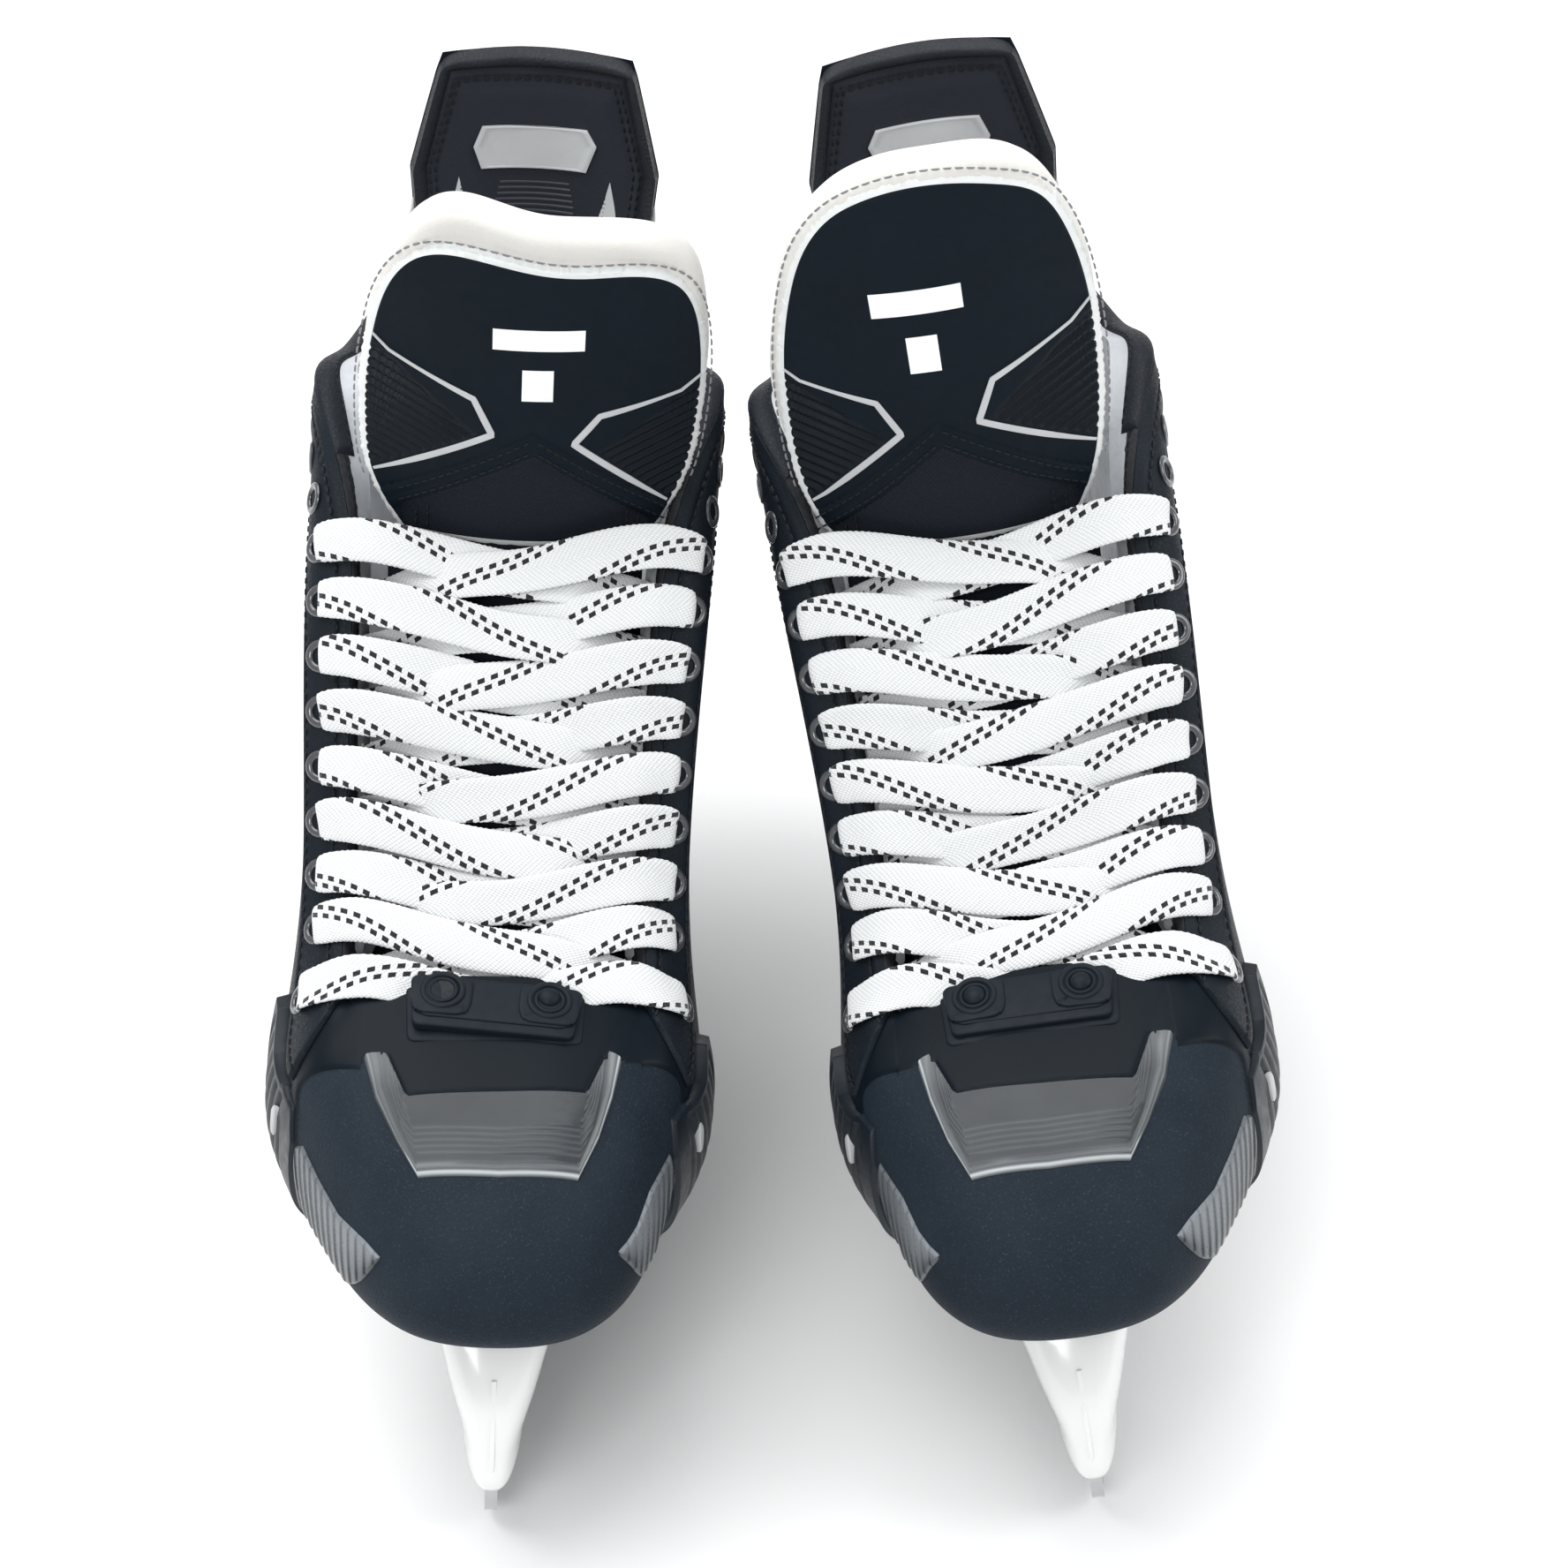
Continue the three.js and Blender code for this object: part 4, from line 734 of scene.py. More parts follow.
M = dict(
    cap=m_cap("cap_grain"),
    satin=m_satin("satin_black", (0.0048, 0.0085, 0.0135), 0.40, 0.00005, 0.16),
    satin2=m_satin("satin_soft", (0.0065, 0.0105, 0.0160), 0.5, 0.00005, 0.14),
    shell=m_leather("shell_black", (0.0048, 0.0085, 0.0135), 0.48, 1100, 0.0001),
    leather=m_leather("eyestay_leather", (0.0050, 0.0085, 0.0130), 0.52),
    binding=m_leather("binding_leather", (0.0075, 0.0095, 0.0135), 0.52, 700, 0.0003),
    raw=m_rawedge("raw_edge"),
    thread=m_weave("thread_black", (0.0045, 0.0065, 0.0095), 0.5, 0.7, 0.0001, 0.35, 0.02),
    thread_grey=m_weave("thread_grey", (0.22, 0.225, 0.235), 0.5, 0.6, 0.0001),
    thread_white=m_weave("thread_white", (0.6, 0.6, 0.57), 0.5, 0.7, 0.0001),
    window=m_window("smoky_window"),
    side_window=m_window("smoky_side", (0.012, 0.015, 0.019), (0.22, 0.24, 0.26), 0.30, 0.25),
    liner=m_liner("liner_cloth"),
    lace=m_lace("lace_cotton"),
    felt=m_felt("tongue_felt_white", (0.70, 0.695, 0.66)),
    felt_edge=m_felt("felt_raw_white", (0.80, 0.80, 0.785)),
    facing=m_satin("tongue_moulding", (0.0035, 0.0075, 0.0125), 0.58, 0.00004, 0.10),
    ridge=m_satin("tongue_ridges", (0.0026, 0.0055, 0.0092), 0.46, 0.00003, 0.16),
    knit=m_weave("tongue_knit", (0.0030, 0.0065, 0.0135), 1.1, 0.9, 0.00022, 0.45, 0.03),
    silver=m_satin("silver_print", (0.46, 0.47, 0.48), 0.42),
    white=m_satin("white_print", (0.86, 0.86, 0.86), 0.45),
    guard=m_weave("guard_cloth", (0.0120, 0.0150, 0.0250), 0.55, 0.75, 0.0001, 0.4, 0.12),
    guard_bind=m_leather("guard_binding", (0.0155, 0.0175, 0.0215), 0.5, 700, 0.0003),
    guard_rib=m_satin("guard_ribs", (0.040, 0.043, 0.052), 0.4),
    pale=m_gloss("pale_wing", (0.55, 0.56, 0.55), 0.3, 0.5, 0.2),
    grey_print=m_satin("grey_fins", (0.075, 0.078, 0.084), 0.35),
    panel=m_satin("side_panel", (0.0070, 0.0110, 0.0165), 0.38, 0.00005, 0.2),
    eyelet=m_gloss("eyelet_lacquer", (0.050, 0.052, 0.058), 0.2, 0.6, 0.6),
    holder=m_gloss("holder_white", (0.80, 0.81, 0.80), 0.2, 0.5, 0.35),
    steel=m_steel("runner_steel"),
    rivet=m_steel("rivet_steel", (0.42, 0.42, 0.43), 0.25, (20, 20, 20)),
    lever=m_satin("lever_grey", (0.026, 0.028, 0.033), 0.42),
    sole=m_grain("sole_black", (0.012, 0.012, 0.0145), 0.42, 900, 0.0001),
    foam=m_weave("footbed_cloth", (0.028, 0.030, 0.035), 1.0, 0.9, 0.0002),
)


def rounded(hw, ht, r, n=4, crown=0.0):
    """A rounded rectangle section, hw by ht half sizes."""
    r = min(r, hw, ht)
    pts = []
    for cx, cy, a0 in ((hw - r, ht - r, 0), (-(hw - r), ht - r, 90), (-(hw - r), -(ht - r), 180), (hw - r, -(ht - r), 270)):
        for q in np.linspace(a0, a0 + 90, n):
            pts.append((cx + r * math.cos(math.radians(q)), cy + r * math.sin(math.radians(q))))
    # a few points along the long sides keep weave and crown smooth
    out = []
    m = len(pts)
    for i in range(m):
        a, b = np.array(pts[i]), np.array(pts[(i + 1) % m])
        out.append(a)
        if np.linalg.norm(b - a) > hw * 0.5:
            for q in (0.25, 0.5, 0.75):
                out.append(a + (b - a) * q)
    out = np.array(out)
    if crown:
        out[:, 1] += np.sign(out[:, 1]) * crown * (1 - (out[:, 0] / hw) ** 2)
    return out


# ---------------------------------------------------------------- one skate
SIDES = (("medial", med, 1), ("lateral", lat, -1))


def eyelet_rows():
    rows = {}
    for side, st, sg in SIDES:
        dirn = 1 if side == "medial" else -1
        at = lambda s: P(np.array(s), 1 - 13 / L(s))
        s = st(4) - (0 if side == "medial" else 0)
        while at(s)[1] < -60.5:
            s += dirn * 0.25
        line, was = [s], at(s)
        while len(line) < 12:
            gone = 0
            while gone < 13.3:
                s += dirn * 0.25
                p = at(s)
                gone += np.linalg.norm(p - was)
                was = p
            line.append(s)
        out = []
        for q in line:
            q = np.array(q)
            te = 1 - 13 / L(q)
            tm = 1 - 5 / L(q)
            if not out:
                te = 1 - 18.5 / L(q)
            eye = P(q, te)
            around = float(q) + np.linspace(-26, 26, 261)
            line_ = P(around, 1.0 + 0 * around)
            j = int(np.argmin(np.linalg.norm(line_ - eye, axis=1)))
            se = around[j]
            sm_, tm = (float(q) + se) / 2, (te + 1) / 2
            sm_, tm = np.array(sm_), np.array(float(tm))
            out.append(dict(s=float(q), eye=eye, n=normal(q, te), edge=line_[j], en=normal(np.array(se), np.array(1.0)), mid=P(sm_, tm), mn=normal(sm_, tm)))
        rows[side] = out
    return rows


ROWS = eyelet_rows()


def toe_cap(k):
    m = STANCE[k]["m"]
    S = np.linspace(lat(4) - S_ROUND + 0.1, med(4) - 0.1, 190)
    T = np.linspace(0, 1, 130)
    s, t = np.meshgrid(S, T, indexing="ij")
    p = P(s, t)
    x, y, z = p[..., 0], p[..., 1], p[..., 2]
    # smooth rear rim: behind an arch over the toe, down the sides, and a panel between the window's arms
    arch = np.where(x < 0, -91 + (np.abs(x) - 34) * 0.36, -88.2 + (x - 30) * 0.34)
    low = np.interp(z, [60, 76, 86, 95, 101, 107], [-92, -93.5, -95, -93, -89.5, -86.5])
    yb = low + (arch - low) * sm((z - 101) / 8)
    rim = y - yb
    notch = np.minimum(np.minimum(y + 98.9 - 0.045 * x, x + 22.4 + (y + 99.2) * 0.42), 20.2 - x + (y + 97.3) * 0.40)
    rim = np.where((np.abs(x) < 33) & (z > 100), np.maximum(np.where(y > -88, 1.0, -9.0), notch), rim)
    step = sm((rim + 0.5) / 1.0)
    d = 0.0 + 0.45 * step - 0.35 * np.exp(-((rim / 0.7) ** 2))
    # rolled lower edge and a soft groove above it
    d = d - 0.5 * np.exp(-(((t - 0.055) / 0.018) ** 2))
    pc = Piece()
    outer = P(s, t, d)
    inner = P(s, t, -2.6)
    uv = np.stack([s, t * L(s)], -1)
    pc.slab(outer, inner, uv, 0, att=rim)
    o = pc.build(k + "_cap", k, [M["cap"]], 50, "rim")
    done(o, k + "_skate", k + "_toe_cap", k + "_toe_cap")

    # window across the top: a U of stepped smoky plastic
    inn = np.array([(-27.4, -86.8), (-25.2, -92.2), (-22.6, -98.3), (-21.6, -99.5), (0, -98.7), (19.4, -97.6), (20.4, -96.4), (22.6, -91.0), (24.9, -85.3)])
    out = np.array([(-32.6, -87.6), (-29.4, -99.5), (-23.6, -111.5), (-18.6, -120.0), (0, -120.8), (18.0, -119.8), (22.6, -109.5), (26.0, -98.5), (28.2, -87.2)])
    tau, pin, pout = [], [], []
    for i in range(len(inn) - 1):
        n = 26 if i in (3, 4) else (3 if i in (2, 5) else 12)
        for q in np.linspace(0, 1, n, endpoint=False):
            pin.append(inn[i] * (1 - q) + inn[i + 1] * q)
            pout.append(out[i] * (1 - q) + out[i + 1] * q)
    pin.append(inn[-1])
    pout.append(out[-1])
    pin, pout = np.array(pin), np.array(pout)
    kk = np.linspace(0, 1, 70)
    xy = pin[:, None] * (1 - kk[None, :, None]) + pout[:, None] * kk[None, :, None]
    wid = np.linalg.norm(pout - pin, axis=1)[:, None]
    dist = (1 - kk)[None, :] * wid  # mm from the outer edge
    h = 0.10 + 0.85 * sm(dist / 0.9) - 0.55 * sm((dist - 1.6) / 2.4)
    for i in range(5):
        h = h + 0.13 * sm((dist - (5.4 + 1.55 * i)) / 0.35) - 0.10 * sm((dist - (6.0 + 1.55 * i)) / 0.8)
    h = h * sm((kk[None, :] * wid + 0.15) / 0.5)
    outer = drop(xy[..., 0], xy[..., 1], h)
    inner = drop(xy[..., 0], xy[..., 1], -0.5)
    X_, Y_ = xy[..., 0], xy[..., 1]
    # Painted highlights: a bright line along the lower bevel where the mask below is high, a paler band on the inner
    # slope, a pale line at each step, and paler towards the back; the 0.05 base is the smoke's own dark tone.
    bevel_highlight_mask = sm((-113 - Y_) / 5) + 0.6 * sm((X_ - 17) / 5) + 0.25
    tone_and_painted_light = 0.05 + 0.9 * np.exp(-(((dist - 0.75) / 0.4) ** 2)) * np.clip(bevel_highlight_mask, 0, 1)
    tone_and_painted_light = tone_and_painted_light + 0.16 * np.exp(-(((dist - 2.6) / 0.8) ** 2)) + 0.09 * sm((Y_ + 99) / 10)
    for i in range(5):
        tone_and_painted_light = tone_and_painted_light + 0.07 * np.exp(-(((dist - (5.7 + 1.55 * i)) / 0.3) ** 2))
    tone_and_painted_light = np.clip(tone_and_painted_light, 0, 1)
    pc = Piece()
    pc.slab(outer, inner, None, 0, att=tone_and_painted_light)
    done(pc.build(k + "_window_top", k, [M["window"]], 30, "tone_and_painted_light"), k + "_skate", k + "_toe_window_top", k + "_toe_window_top")

    # windows on the front corners
    for side, st, sg in SIDES:
        if side == "medial":
            tab = np.array([(66.5, 0.41, 0.497), (58.7, 0.305, 0.464), (52, 0.235, 0.437), (43, 0.228, 0.379), (38, 0.30, 0.362), (34, 0.345, 0.354)])
        else:
            tab = np.array([(-75.9, 0.375, 0.475), (-72.5, 0.25, 0.495), (-61, 0.208, 0.430), (-49.5, 0.19, 0.377), (-42.5, 0.187, 0.368), (-37, 0.26, 0.36), (-31.5, 0.342, 0.346)])
        q = np.linspace(0, 1, 150)[:, None]
        c = np.linspace(0, 1, 46)[None, :]
        k0 = np.linspace(0, 1, len(tab))
        ss = np.interp(q, k0, tab[:, 0]) + 0 * c
        low, top = np.interp(q, k0, tab[:, 1]), np.interp(q, k0, tab[:, 2])
        tt = low + (top - low) * c
        wide = (top - low) * 92
        edge = np.minimum(np.minimum(q * 48, (1 - q) * 48), np.minimum(c, 1 - c) * wide)
        along = np.abs(ss - tab[0, 0])
        ridge = np.mod(along / 3.3 + (tt - 0.2) * 7.0, 1.0)
        h = 0.1 + 0.45 * sm(edge / 0.7) + 0.30 * sm(ridge / 0.75) * sm((1 - ridge) / 0.10) * sm(edge / 1.2)
        outer = P(ss, tt, h)
        inner = P(ss, tt, -0.5 + 0 * h)
        # Painted light and shade: paler towards the top edge and away from the end where q is 0, a little paler along
        # the lower edge, and darker on the falling face of each ridge.
        tone_and_painted_light = 0.18 + 0.62 * sm((c - 0.02) / 0.95) * (0.35 + 0.65 * sm(q * 1.4)) - 0.28 * sm((ridge - 0.80) / 0.1)
        tone_and_painted_light = np.clip(tone_and_painted_light + 0.15 * sm((0.25 - c) / 0.25), 0, 1)
        pc = Piece()
        pc.slab(outer, inner, None, 0, att=tone_and_painted_light)
        done(
            pc.build(f"{k}_window_{side}", k, [M["side_window"]], 30, "tone_and_painted_light"),
            k + "_skate",
            f"{k}_toe_window_{side}",
            f"{k}_toe_window_{side}",
        )


def snap(k):
    """Peg plate of the toe cap and the tongue's tab that snaps on it."""
    m = STANCE[k]["m"]
    loose = k == "right"  # this skate's lateral peg is out of its hole
    ox = -2.0 if loose else 0.0

    def plate(pc, corners, h0, h1, bevel, mat, n=60, c=34, lift=None):
        """A rounded plate over the cap: corners (x, y) in order, from height h0 to h1."""
        cs = np.array(corners, float)
        mid = cs.mean(0)
        ring = []
        for i in range(len(cs)):
            a, b, d = cs[i - 1], cs[i], cs[(i + 1) % len(cs)]
            r = 2.2
            p0 = b + (a - b) / np.linalg.norm(a - b) * r
            p1 = b + (d - b) / np.linalg.norm(d - b) * r
            for q in np.linspace(0, 1, 6):
                ring.append((1 - q) ** 2 * p0 + 2 * q * (1 - q) * b + q * q * p1)
        ring = np.array(ring)
        rr = np.linspace(0, 1, 22)
        levels = []
        size = np.linalg.norm(ring - mid, axis=1)
        prof = [(1.0, h0 - 0.6, 0), (1.0, h0 + (h1 - h0) * 0.3, 0), (1.0, h1, -bevel * 0.35), (1.0, h1, -bevel)]
        v, f = [], []
        rows = [(0.0, h0 - 0.8), (0.0, h1 - bevel * 0.55), (bevel * 0.3, h1 - bevel * 0.15), (bevel * 0.8, h1)]
        for ins, h in rows:
            p = ring - (ring - mid) / size[:, None] * ins
            hh = h if lift is None else h + lift(p[:, 0], p[:, 1])
            v.append(drop(p[:, 0] + ox, p[:, 1] - 1.6, hh))
        for sc in np.linspace(0.9, 0.08, 7):
            p = mid + (ring - (ring - mid) / size[:, None] * bevel * 0.8 - mid) * sc
            hh = h1 if lift is None else h1 + lift(p[:, 0], p[:, 1])
            v.append(drop(p[:, 0] + ox, p[:, 1] - 1.6, hh))
        R, N = len(v), len(ring)
        for i in range(R - 1):
            for j in range(N):
                f.append([i * N + j, i * N + (j + 1) % N, (i + 1) * N + (j + 1) % N, (i + 1) * N + j])
        f.append(list(range(N))[::-1])
        f.append([(R - 1) * N + j for j in range(N)])
        v = np.concatenate(v)
        pc.add(v, f, v[:, :2], mat)

    tilt = (lambda x, y: np.clip((6 - x) / 30, 0, 1) * 1.6) if loose else (lambda x, y: 0 * x)
    rot = math.radians(4.0) if loose else 0.0
    R2 = np.array([[math.cos(rot), math.sin(rot)], [-math.sin(rot), math.cos(rot)]])
    turn = lambda pts: [tuple(np.array([0.0, -74.0]) + R2 @ (np.array(p) - np.array([0.0, -74.0]))) for p in pts]
    pc = Piece()
    plate(pc, [(-21.5, -66.8), (-20.6, -83.4), (20.6, -83.4), (21.5, -66.8)], 0.0, 0.9, 0.7, 0)
    for x in (-12.6, 12.6):
        if loose and x < 0:
            continue
        c = drop(np.array(x + ox), np.array(-74.0), 3.2)
        n = drop(np.array(x + ox), np.array(-74.0), 1.0) - drop(np.array(x + ox), np.array(-74.0), 0.0)
        pc.dome(c, n, 2.75, 1.9, 0, base=-3.0)
    done(pc.build(k + "_pegs", k, [M["satin2"]], 40), k + "_skate", k + "_snap_pegs", k + "_snap_pegs")

    pc = Piece()
    plate(pc, turn([(-20.4, -67.4), (-18.9, -81.9), (18.9, -81.9), (20.4, -67.4)]), 1.0, 2.5, 0.9, 0, lift=tilt)
    plate(pc, turn([(-18.3, -67.8), (-17.3, -79.6), (17.3, -79.6), (18.3, -67.8)]), 2.3, 2.95, 0.5, 0, lift=tilt)
    for x in (-12.6, 12.6):
        a = 7.0
        pad = [(x - a + 1.8, -79.0), (x + a - 1.8, -79.0), (x + a, -76.6), (x + a, -68.2), (x - a, -68.2), (x - a, -76.6)]
        plate(pc, turn(pad), 2.8, 3.5, 0.5, 0, lift=tilt)
        q = np.array(turn([(x, -72.4)])[0])
        up = float(tilt(np.array(q[0]), 0))
        q = q + np.array([ox, -1.6])
        c = drop(np.array(q[0]), np.array(q[1]), 3.45 + up)
        n = drop(np.array(q[0]), np.array(q[1]), 1.0) - drop(np.array(q[0]), np.array(q[1]), 0.0)
        pc.ring(c, n, 4.7, 0.75, 0, flat=0.7)
        pc.ring(c, n, 3.25, 0.55, 0, flat=0.8)
        if loose and x < 0:
            pc.lathe(c, n, [(2.9, -0.1), (2.9, 0.06), (0.3, 0.06)], 1, 24)
    done(pc.build(k + "_tab", k, [M["satin2"], M["raw"]], 40), k + "_skate", k + "_tongue_tab", k + "_tongue_tab")


def quarter(k):
    """The boot's shell with its moulded side panels, seams and fins, and the bound collar."""
    S = np.linspace(med(4) + 0.5, lat(4) - 0.5, 420)
    T = np.linspace(0, 1, 110)
    s, t = np.meshgrid(S, T, indexing="ij")
    p = P(s, t)
    z, y = p[..., 2], p[..., 1]
    # heel counter and ankle relief
    ls = L(s)
    up = (1 - t) * ls  # mm down from the top edge
    d = np.zeros_like(s)
    heel = sm((y - 58 - 0.35 * (150 - z)) / 2.0) * sm((162 - z) / 2.5)
    d += 0.7 * heel
    arch = sm((-y - 10 + 0.0 * z) / 2.0) * 0
    d -= 0.5 * np.exp(-(((t * ls - 7.5) / 0.8) ** 2))  # line above the sole
    ankle = np.exp(-(((y - 70) / 26) ** 2) - (((z - 150) / 26) ** 2))
    d += 0.9 * ankle
    pc = Piece()
    pc.slab(P(s, t, d), P(s, t, -2.4 + 0 * d), np.stack([s, t * ls], -1), 0)
    # seam stitches along the heel counter
    for sgn, st in ((1, med), (-1, lat)):
        q = np.linspace(0, 1, 60)
        zc = 74 + (160 - 74) * q
        yc = 58 + 0.35 * (150 - zc) + 3.0
        # find s, t on that line
        ss, tt = [], []
        sr = np.linspace(st(7), st(11.6), 90)
        g = P(sr[:, None], np.linspace(0, 1, 60)[None, :])
        for a, b in zip(yc, zc):
            e = (g[..., 1] - a) ** 2 + (g[..., 2] - b) ** 2
            i, j = np.unravel_index(np.argmin(e), e.shape)
            ss.append(sr[i])
            tt.append(j / 59)
        ss = np.convolve(np.pad(ss, 3, mode="edge"), np.ones(7) / 7, "valid")
        tt = np.convolve(np.pad(tt, 3, mode="edge"), np.ones(7) / 7, "valid")
        pc.stitches(P(ss, tt, 0.75), normal(ss, tt), mat=1)
    o = pc.build(k + "_shell", k, [M["shell"], M["thread_grey"]], 45)
    done(o, k + "_skate", k + "_boot_shell", k + "_boot_shell")

    # moulded, ridged panel each side of the toe
    for side, st, sg in SIDES:
        pc = Piece()
        q = np.linspace(0, 1, 130)[:, None]
        c = np.linspace(0, 1, 60)[None, :]
        far = 76.8 if side == "lateral" else 67.5
        s0, s1 = (S_ROUND - far, S_ROUND - far - 42) if side == "lateral" else (far, far + 42)
        ss = s0 + (s1 - s0) * q + 0 * c
        low = 0.10 + 0.10 * q
        top = np.interp(q, [0, 0.12, 0.3, 0.6, 0.85, 1.0], [0.47, 0.60, 0.63, 0.60, 0.60, 0.54])
        tt = low + (top - low) * c
        edge = np.minimum(np.minimum(q, 1 - q) * 42, np.minimum(c, 1 - c) * (top - low) * 92)
        frame_ = sm(edge / 1.1)
        well = sm((edge - 3.0) / 0.8) * sm((q - 0.22) / 0.05)
        ridge = np.mod(q * 9 + c * 1.6, 1.0)
        saw = sm(ridge / 0.6) * sm((1 - ridge) / 0.14)
        h = 0.1 + (1.2 + 1.9 * sm((q - 0.1) / 0.6)) * frame_ - 1.3 * well + 1.2 * well * saw
        pc.slab(P(ss, tt, h), P(ss, tt, 0 * h - 0.6), None, 0)
        s_r = float(s0 + (s1 - s0) * 0.10)
        c0, n0 = P(np.array(s_r), np.array(0.30), 1.2), normal(np.array(s_r), np.array(0.30))
        sb = np.array((S_ROUND - 91.3) if side == "lateral" else 84.0)
        nb = normal(sb, np.array(0.45))
        upb = P(sb, np.array(0.47)) - P(sb, np.array(0.43))
        pc.lathe(P(sb, np.array(0.45), 1.9), nb, [(2.2, -1.5), (2.2, 0.3), (1.8, 0.7), (0.4, 0.75)], 1, 28, 2.1, upb)
        done(pc.build(f"{k}_panel_{side}", k, [M["panel"], M["silver"]], 35), k + "_skate", k + "_boot_shell")

    # painted fins below the collar on each side
    for side, st, sg in SIDES:
        pc = Piece()
        for i in range(7):
            q = np.linspace(0, 1, 40)[:, None]
            c = np.linspace(0, 1, 6)[None, :]
            s0 = st(6.45 + 0.20 * i)
            s1 = st(6.95 + 0.21 * i)
            w = 0.017 * (1 - 0.55 * np.abs(2 * q - 1))
            ss = s0 + (s1 - s0) * q
            tc = 0.60 + 0.018 * i + 0.20 * q
            tt = tc + (c - 0.5) * w * 2
            ss = ss + 0 * c
            pc.slab(P(ss, tt, 0.22 + 0 * tt), P(ss, tt, -0.2 + 0 * tt), None, 0)
        # an angular outline in front of the fins
        key = [(6.3, 0.50), (7.3, 0.58), (8.3, 0.74), (8.7, 0.80), (8.1, 0.83), (7.2, 0.74), (6.5, 0.60)]
        pts = np.array([(st(a), b) for a, b in key])
        line = []
        for i in range(len(pts) - 1):
            for q in np.linspace(0, 1, 18, endpoint=i == len(pts) - 2):
                line.append(pts[i] * (1 - q) + pts[i + 1] * q)
        line = np.array(line)
        C = P(line[:, 0], line[:, 1], 0.1)
        N = normal(line[:, 0], line[:, 1])
        Tn = np.gradient(C, axis=0)
        pc.sweep(C, np.cross(N, Tn), N, rounded(0.55, 0.25, 0.2), 0)
        done(pc.build(f"{k}_fins_{side}", k, [M["grey_print"]], 30), k + "_skate", k + "_boot_shell")

    # rolled binding on the collar's edge
    S = np.linspace(med(7.35), lat(7.35), 260)
    top = P(S, 1.0 + 0 * S)
    nn = normal(S, 1.0 + 0 * S)
    below = P(S, 0.97 + 0 * S)
    upv = top - below
    upv /= np.linalg.norm(upv, axis=1, keepdims=True)
    sec = []
    w0, w1, hgt = 1.5, -5.4, 2.6
    for a in np.linspace(0, math.pi, 13):
        sec.append(((w0 + w1) / 2 + (w0 - w1) / 2 * math.cos(a), 0.4 + hgt * math.sin(a)))
    sec += [(w1, -6.0), (w1 + 0.8, -7.5), (w0 - 0.9, -8.2), (w0, -7.0)]
    sec = np.array(sec)
    wave = 1 + 0.05 * np.sin(np.linspace(0, 90, len(S)))[:, None, None] * RNG.normal(1, 0.3, (len(S), 1, 1))
    C = top
    pc = Piece()
    pc.sweep(C, nn, upv, np.repeat(sec[None], len(S), 0) * np.array([1.0, 1.0]), 0)
    # a row of stitches on its outside, one on top
    pc.stitches(top - upv * 5.2 + nn * 1.5, nn, mat=1, pitch=3.2)
    pc.stitches(top + nn * -3.9 + upv * 2.3, upv - nn * 0.6, mat=1, pitch=3.2, length=2.0, r=0.3)
    done(pc.build(k + "_collar_binding", k, [M["binding"], M["thread"]], 60), k + "_skate", k + "_boot_shell")


def eyestays(k):
    for side, st, sg in SIDES:
        dirn = 1 if side == "medial" else -1
        S = np.linspace(st(4) + dirn * 0.8, st(8) + dirn * 2, 220)
        ls = L(S)
        U = np.linspace(-0.9, 25, 44)
        s, u = np.meshgrid(S, U, indexing="ij")
        t = 1 - np.maximum(u, 0) / ls[:, None]
        edge_up = P(S, 1.0 + 0 * S) - P(S, 0.985 + 0 * S)
        edge_up /= np.linalg.norm(edge_up, axis=1, keepdims=True)
        ee = np.minimum(np.minimum(u + 0.9, 25 - u), np.minimum(np.abs(s - S[0]), np.abs(s - S[-1])))
        d = 0.35 + 1.35 * sm((ee + 0.35) / 1.1) + 0.25 * np.exp(-(((u - 3.2) / 1.6) ** 2)) - 0.35 * np.exp(-(((u - 5.6) / 0.6) ** 2))
        d = d - 0.30 * np.exp(-(((u - 22.0) / 0.5) ** 2))
        lift = edge_up[:, None] * np.maximum(-u, 0)[..., None]
        outer = P(s, t, d) + lift
        inner = P(s, t, 0.1 + 0 * d) + lift
        pc = Piece()
        pc.slab(outer, inner, np.stack([s, u], -1), 0)
        for uu in (5.6, 22.0):
            tt = 1 - uu / ls
            pc.stitches(P(S, tt, 1.45), normal(S, tt), mat=1, pitch=2.9, length=2.1)
        # the raw inner edge of the stack: board, foam and leather under the facing
        e = P(S, 1.0 + 0 * S)
        en = normal(S, 1.0 + 0 * S)
        sec = np.array([(1.15, -2.2), (1.35, 0.9), (0.4, 1.35), (-1.2, 1.2), (-2.2, 1.5), (-3.9, 1.3), (-4.6, 0.6), (-4.7, -2.4), (-2.0, -3.2)])
        n = len(S)
        rough = RNG.normal(0, 0.10, (n, len(sec), 2))
        rough[1:-1] = (rough[:-2] + rough[1:-1] + rough[2:]) / 3 * 1.6
        pc.sweep(e, en, edge_up, np.repeat(sec[None], n, 0) + rough, 2)
        pc.stitches(e + edge_up * 1.5 - en * 1.6, edge_up, mat=1, pitch=2.6, length=1.9, r=0.3)
        done(
            pc.build(f"{k}_eyestay_{side}", k, [M["leather"], M["thread"], M["raw"]], 50),
            k + "_skate",
            f"{k}_eyestay_{side}",
            f"{k}_eyestay_{side}",
        )
        pc = Piece()
        for r in ROWS[side]:
            c = r["eye"] + r["n"] * 1.75
            pc.ring(c, r["n"], 3.1, 0.95, 0, flat=0.55)
            pc.lathe(c, r["n"], [(2.5, -1.2), (2.5, -0.35), (0.2, -0.35)], 1, 24)
        done(
            pc.build(f"{k}_eyelet_rings_{side}", k, [M["eyelet"], M["raw"]], 50),
            k + "_skate",
            f"{k}_eyelets_{side}",
            f"{k}_eyelets_{side}",
        )


